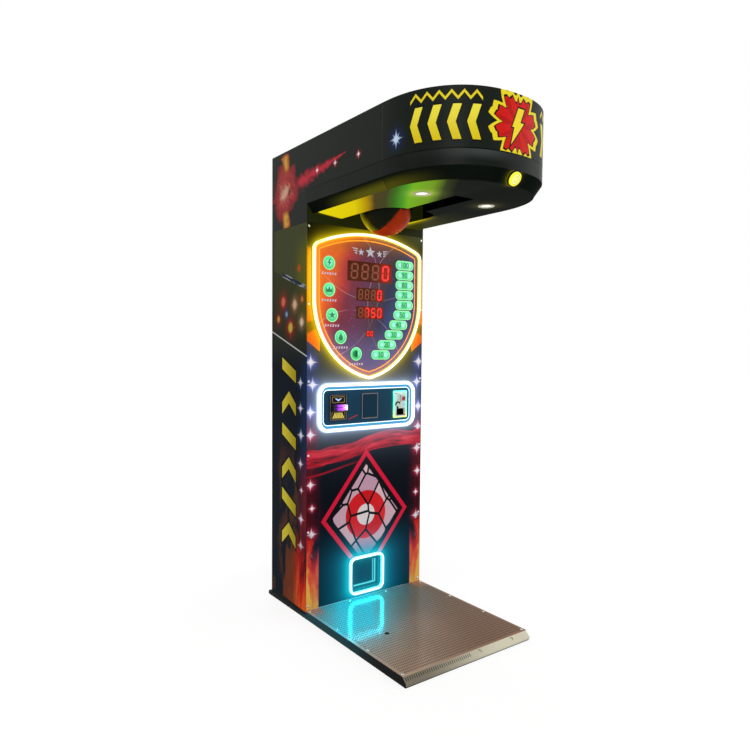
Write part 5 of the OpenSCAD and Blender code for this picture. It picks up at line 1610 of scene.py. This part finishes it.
def buildTread():
    plate, pins, spot = newMaterial("treadPlate", Metallic=0.04, Specular_IOR_Level=0.12)
    x, y, z = split(spot)
    streak = noise(vector(x * 40.0, y * 4.0, z * 40.0), 1.0, 4.0, 0.6)
    broad = noise(spot, 3.2, 5.0, 0.62)
    marks = useGroup(scuffs, {"Position": spot, "Along X": 30.0, "Along Y": 260.0, "Amount": 0.5})["Mask"]
    slope = z.ease(0.0385, 0.0365)
    color = Coat(mixColor(broad.ease(0.35, 0.70), linear(184, 156, 130), linear(206, 176, 150)))
    off = frontY - y
    # painted shade: darker towards the right and the front
    color.lay((x + off * 0.5).ease(-0.10, 0.50), linear(138, 100, 70))
    # painted light: the nosing's slope is paler, the more so to the right
    bright = mixColor(x.ease(-0.30, 0.20), linear(126, 116, 98), linear(222, 216, 192))
    color.lay(slope, bright)
    # light of the outlet lies on the deck, slanting to the left; painted shade darkens the sheet near the
    # cabinet
    lean = x + 0.060 + off * 0.65
    aside = ((lean - 0.075) * 0.9).max((lean + 0.10) * -0.75).max(0.0)
    beyond = (off - 0.29).max(0.0) * 0.7
    away = distanceOf(aside, beyond)
    wash = away.fade(0.085) * off.above(0.001)
    # painted shade near the cabinet, tinted teal
    color.lay(off.ease(0.50, 0.0) * x.ease(0.36, 0.10, 0.30, 0.62), linear(28, 60, 58))
    color.lay(wash * 0.85, linear(16, 40, 46))
    feed(pins["Base Color"], mixColor(marks * 0.3, color.tone, linear(190, 184, 170)))
    # and of the flames at both ends of the front
    ends = x.abs().ease(0.276, 0.290) * off.ease(0.11, 0.0) * off.above(0.001)
    glow = Coat(mixColor(wash, black, linear(40, 200, 226)))
    strip = off.fade(0.07) * x.abs().ease(0.30, 0.20) * off.above(0.001)
    glow.lay(strip * (1.0 - wash) * 0.5, linear(22, 122, 148))
    glow.lay(ends * 0.8, linear(150, 84, 62))
    shine(pins, glow.tone)
    rough = streak * 0.06 + broad.ease(0.3, 0.8) * 0.06 + marks * 0.25 + slope * 0.35 + 0.10
    feed(pins["Roughness"], rough.clip())
    wave = noise(spot, 5.0, 2.0, 0.4)
    feed(pins["Normal"], bump(wave, 0.25, 0.004, bump(streak, 0.05, 0.0004)))
    soften("tread_plate", "treadSheet", plate, 0.0008)
    # rows of long raised pips, their steel painted darker than the sheet as their shade
    pips = MeshBag("treadPips")
    wide, long, high, inset = 0.0034, 0.0112, 0.0010, 0.0008
    outline = [(-wide / 2, -long / 2 + wide / 2), (0.0, -long / 2), (wide / 2, -long / 2 + wide / 2),
               (wide / 2, long / 2 - wide / 2), (0.0, long / 2), (-wide / 2, long / 2 - wide / 2)]
    top = [(px * (1 - 2 * inset / wide), py * (1 - 2 * inset / long)) for px, py in outline]
    sides = prismFaces(len(outline))
    grid = {"rows": 41, "rowPitch": 0.0176, "first": 0.018, "columns": 79, "columnPitch": 0.0086,
            "clear": 0.011}  # clear of the screws
    for row in range(grid["rows"]):
        cy = frontY - grid["first"] - row * grid["rowPitch"]
        for column in range(grid["columns"]):
            cx = (column - (grid["columns"] - 1) / 2) * grid["columnPitch"]
            if any(math.hypot(cx - sx, cy - frontY - sy) < grid["clear"] for sx, sy in deckScrews):
                continue
            pips.add([(cx + px, cy + py, deckTop - 0.0002) for px, py in outline]
                     + [(cx + px, cy + py, deckTop + high) for px, py in top], sides)
    pips.piece(metal("pipSteel", linear(66, 57, 48), 0.5, (300.0, 300.0, 300.0)), slot="tread_steel",
               smooth=None)
    # short ribs on the left half of the nosing, two hooks on its right half
    ribs = MeshBag("nosingRibs")
    nosing = {"y": frontY - 0.750, "z": deckTop - 0.011, "out": (0, -0.7071, 0.7071), "sunk": -0.0003}
    for k in range(32):
        turn = facing(-0.344 + k * 0.011, nosing["y"], nosing["z"], nosing["out"])
        ribs.add([turn @ Vector((px * 0.9, py * 1.5, nosing["sunk"])) for px, py in outline]
                 + [turn @ Vector((px * 0.9, py * 1.5, 0.0012)) for px, py in top], sides)
    hook = arc(0.0, 0.0, 0.0068, -70, 160, 12) + arc(0.0, 0.0, 0.0048, 160, -70, 12)
    for cx in (0.055, 0.250):
        turn = facing(cx, nosing["y"], nosing["z"], nosing["out"])
        ribs.add([turn @ Vector((px, py, height)) for height in (nosing["sunk"], 0.0009) for px, py in hook],
                 prismFaces(len(hook)), slot=1)
    # painted shade: the ribs are dark like the pips
    ribs.piece([satin("ribSteel", linear(58, 50, 42), 0.4, specular=0.1), deepSteel], slot="tread_steel",
               smooth=None)
    # plugged hole near the middle
    plug = MeshBag("deckPlug")
    plug.spin([(0.0, -0.0003), (0.011, -0.0003), (0.0106, 0.0010), (0.0088, 0.0018), (0.0070, 0.0012),
               (0.0064, 0.0004), (0.0, 0.0003)], Matrix.Translation((-0.180, frontY - 0.414, deckTop)), 28)
    plug.piece(rubberBlack, slot="bumper_rubber")


# the deck's screws, measured from the middle of the front panel's foot
screwAt = {"side": 0.3405, "middle": 0.1135, "first": -0.020, "pitch": 0.235667}
deckScrews = [(side * screwAt["side"], screwAt["first"] - i * screwAt["pitch"])
              for i in range(4) for side in (-1, 1)]
deckScrews += [(side * screwAt["middle"], screwAt["first"]) for side in (-1, 1)]
buildTread()


def screwProfile(r, h):
    # pan head with a hexagon socket, from the socket's floor outwards
    return [(0.0, h * 0.35), (r * 0.36, h * 0.35), (r * 0.40, h * 0.88), (r * 0.62, h * 0.98),
            (r * 0.86, h * 0.66), (r, 0.0), (r, -0.0004), (0.0, -0.0004)]


def buildScrews():
    deck, head = MeshBag("deckScrews"), 0.006
    for sx, sy in deckScrews:
        deck.spin(screwProfile(head, 0.0016), Matrix.Translation((sx, frontY + sy, deckTop)), 20)
    deck.piece(screwSteel, replaces=["plate_screws"], slot="screw_steel", smooth=40)
    panel = MeshBag("panelScrews")
    for z in (1.864, 1.500, 1.136, 0.783, 0.416, 0.057):
        for side in (-1, 1):
            panel.spin(screwProfile(head, 0.0018), facing(side * 0.341, frontY, z), 20)
    panel.piece(screwSteel, replaces=["panel_screws"], slot="screw_steel", smooth=40)


buildScrews()
print("deck ready")


# back and inside

# rails, bars, bearings, latch, sensor and speaker are finished near black: painted shade
insideLooks = {"upright_posts": innerSteel, "head_rails": deepBlack, "cross_bars": deepBlack,
               "bearing_blocks": deepBlack, "stop_bumper": rubberBlack, "latch_solenoid": deepBlack,
               "latch_pin": deepSteel, "speed_sensor": deepBlack, "note_validator": blackPlastic,
               "coin_mech": blackPlastic, "equipment_shelf": zincSteel, "cash_box": innerSteel,
               "control_box": innerSteel, "speaker": deepBlack, "door_lock": screwSteel,
               "inlet_module": blackPlastic, "power_rocker": redPlastic}
for node, material in insideLooks.items():
    soften(node, node.title().replace("_", ""), material, 0.0004)
print("back and inside ready")


# camera, light and floor

# focal length in pixels of the picture's width
view = {"focal": 636.147, "pixels": 750, "yaw": 0.63, "pitch": -0.044, "roll": 0.008,
        "place": (-1.8505, -2.3116, 1.3008)}


def buildCamera():
    yaw, pitch, roll = view["yaw"], view["pitch"], view["roll"]
    forward = Vector((math.sin(yaw) * math.cos(pitch), math.cos(yaw) * math.cos(pitch), math.sin(pitch)))
    right = Vector((math.cos(yaw), -math.sin(yaw), 0))
    up = right.cross(forward)
    turnedRight = math.cos(roll) * right + math.sin(roll) * up
    turnedUp = math.cos(roll) * up - math.sin(roll) * right
    turn = Matrix((turnedRight, turnedUp, -forward)).transposed().to_4x4()
    camera = newObject("camera", bpy.data.cameras.new("camera"))
    camera.matrix_world = Matrix.Translation(view["place"]) @ turn
    camera.data.lens = view["focal"] * camera.data.sensor_width / view["pixels"]
    bpy.context.scene.camera = camera


def buildLight():
    studio = {"sky": 0.50, "lamps": (("key", (-2.6, -3.2, 3.4), (0, 0, 1.2), 2.4, 60.0),
                                     ("fill", (3.0, -2.4, 2.2), (0, 0, 1.0), 2.4, 30.0),
                                     ("back", (0.5, 3.4, 2.8), (0, 0.3, 1.1), 2.0, 30.0))}
    world = bpy.data.worlds.new("studio")
    bpy.context.scene.world = world
    world.use_nodes = True
    seen = rays(world.node_tree, "Camera", "Glossy", "Transmission")
    pins = world.node_tree.nodes["Background"].inputs
    feed(pins["Color"], (1, 1, 1, 1))
    feed(pins["Strength"], seen * (1.0 - studio["sky"]) + studio["sky"])
    for name, spot, target, size, power in studio["lamps"]:
        light = newObject(name, bpy.data.lights.new(name, "AREA"))
        light.data.shape, light.data.size, light.data.energy = "SQUARE", size, power
        light.location = spot
        light.rotation_euler = (Vector(target) - Vector(spot)).to_track_quat("-Z", "Y").to_euler()


def buildFloor():
    material, pins, spot = newMaterial("paleFloor", Base_Color=(0.9, 0.9, 0.9, 1), Roughness=0.9,
                                       Specular_IOR_Level=0.1)
    nodes = material.node_tree.nodes
    x, y, z = split(spot)
    white = addNode(spot.tree, "Emission", {"Strength": distanceOf(x, y).ease(0.9, 2.4, 1.12, 1.35)})
    seen = rays(spot.tree, "Camera", "Glossy", "Transmission")
    mix = addNode(spot.tree, "MixShader", {0: seen * 0.74, 1: Wire(nodes["Principled BSDF"].outputs[0]),
                                           2: Wire(white.outputs[0])})
    feed(nodes["Material Output"].inputs["Surface"], Wire(mix.outputs[0]))
    half = 30
    corners = [(-half, -half, 0), (half, -half, 0), (half, half, 0), (-half, half, 0)]
    floor = meshFrom("floor", corners, [(0, 1, 2, 3)])
    floor.materials.append(material)
    newObject("floor", floor)


buildCamera()
buildLight()
buildFloor()
bpy.context.scene.view_settings.view_transform = "Standard"
print("camera, light and floor ready")
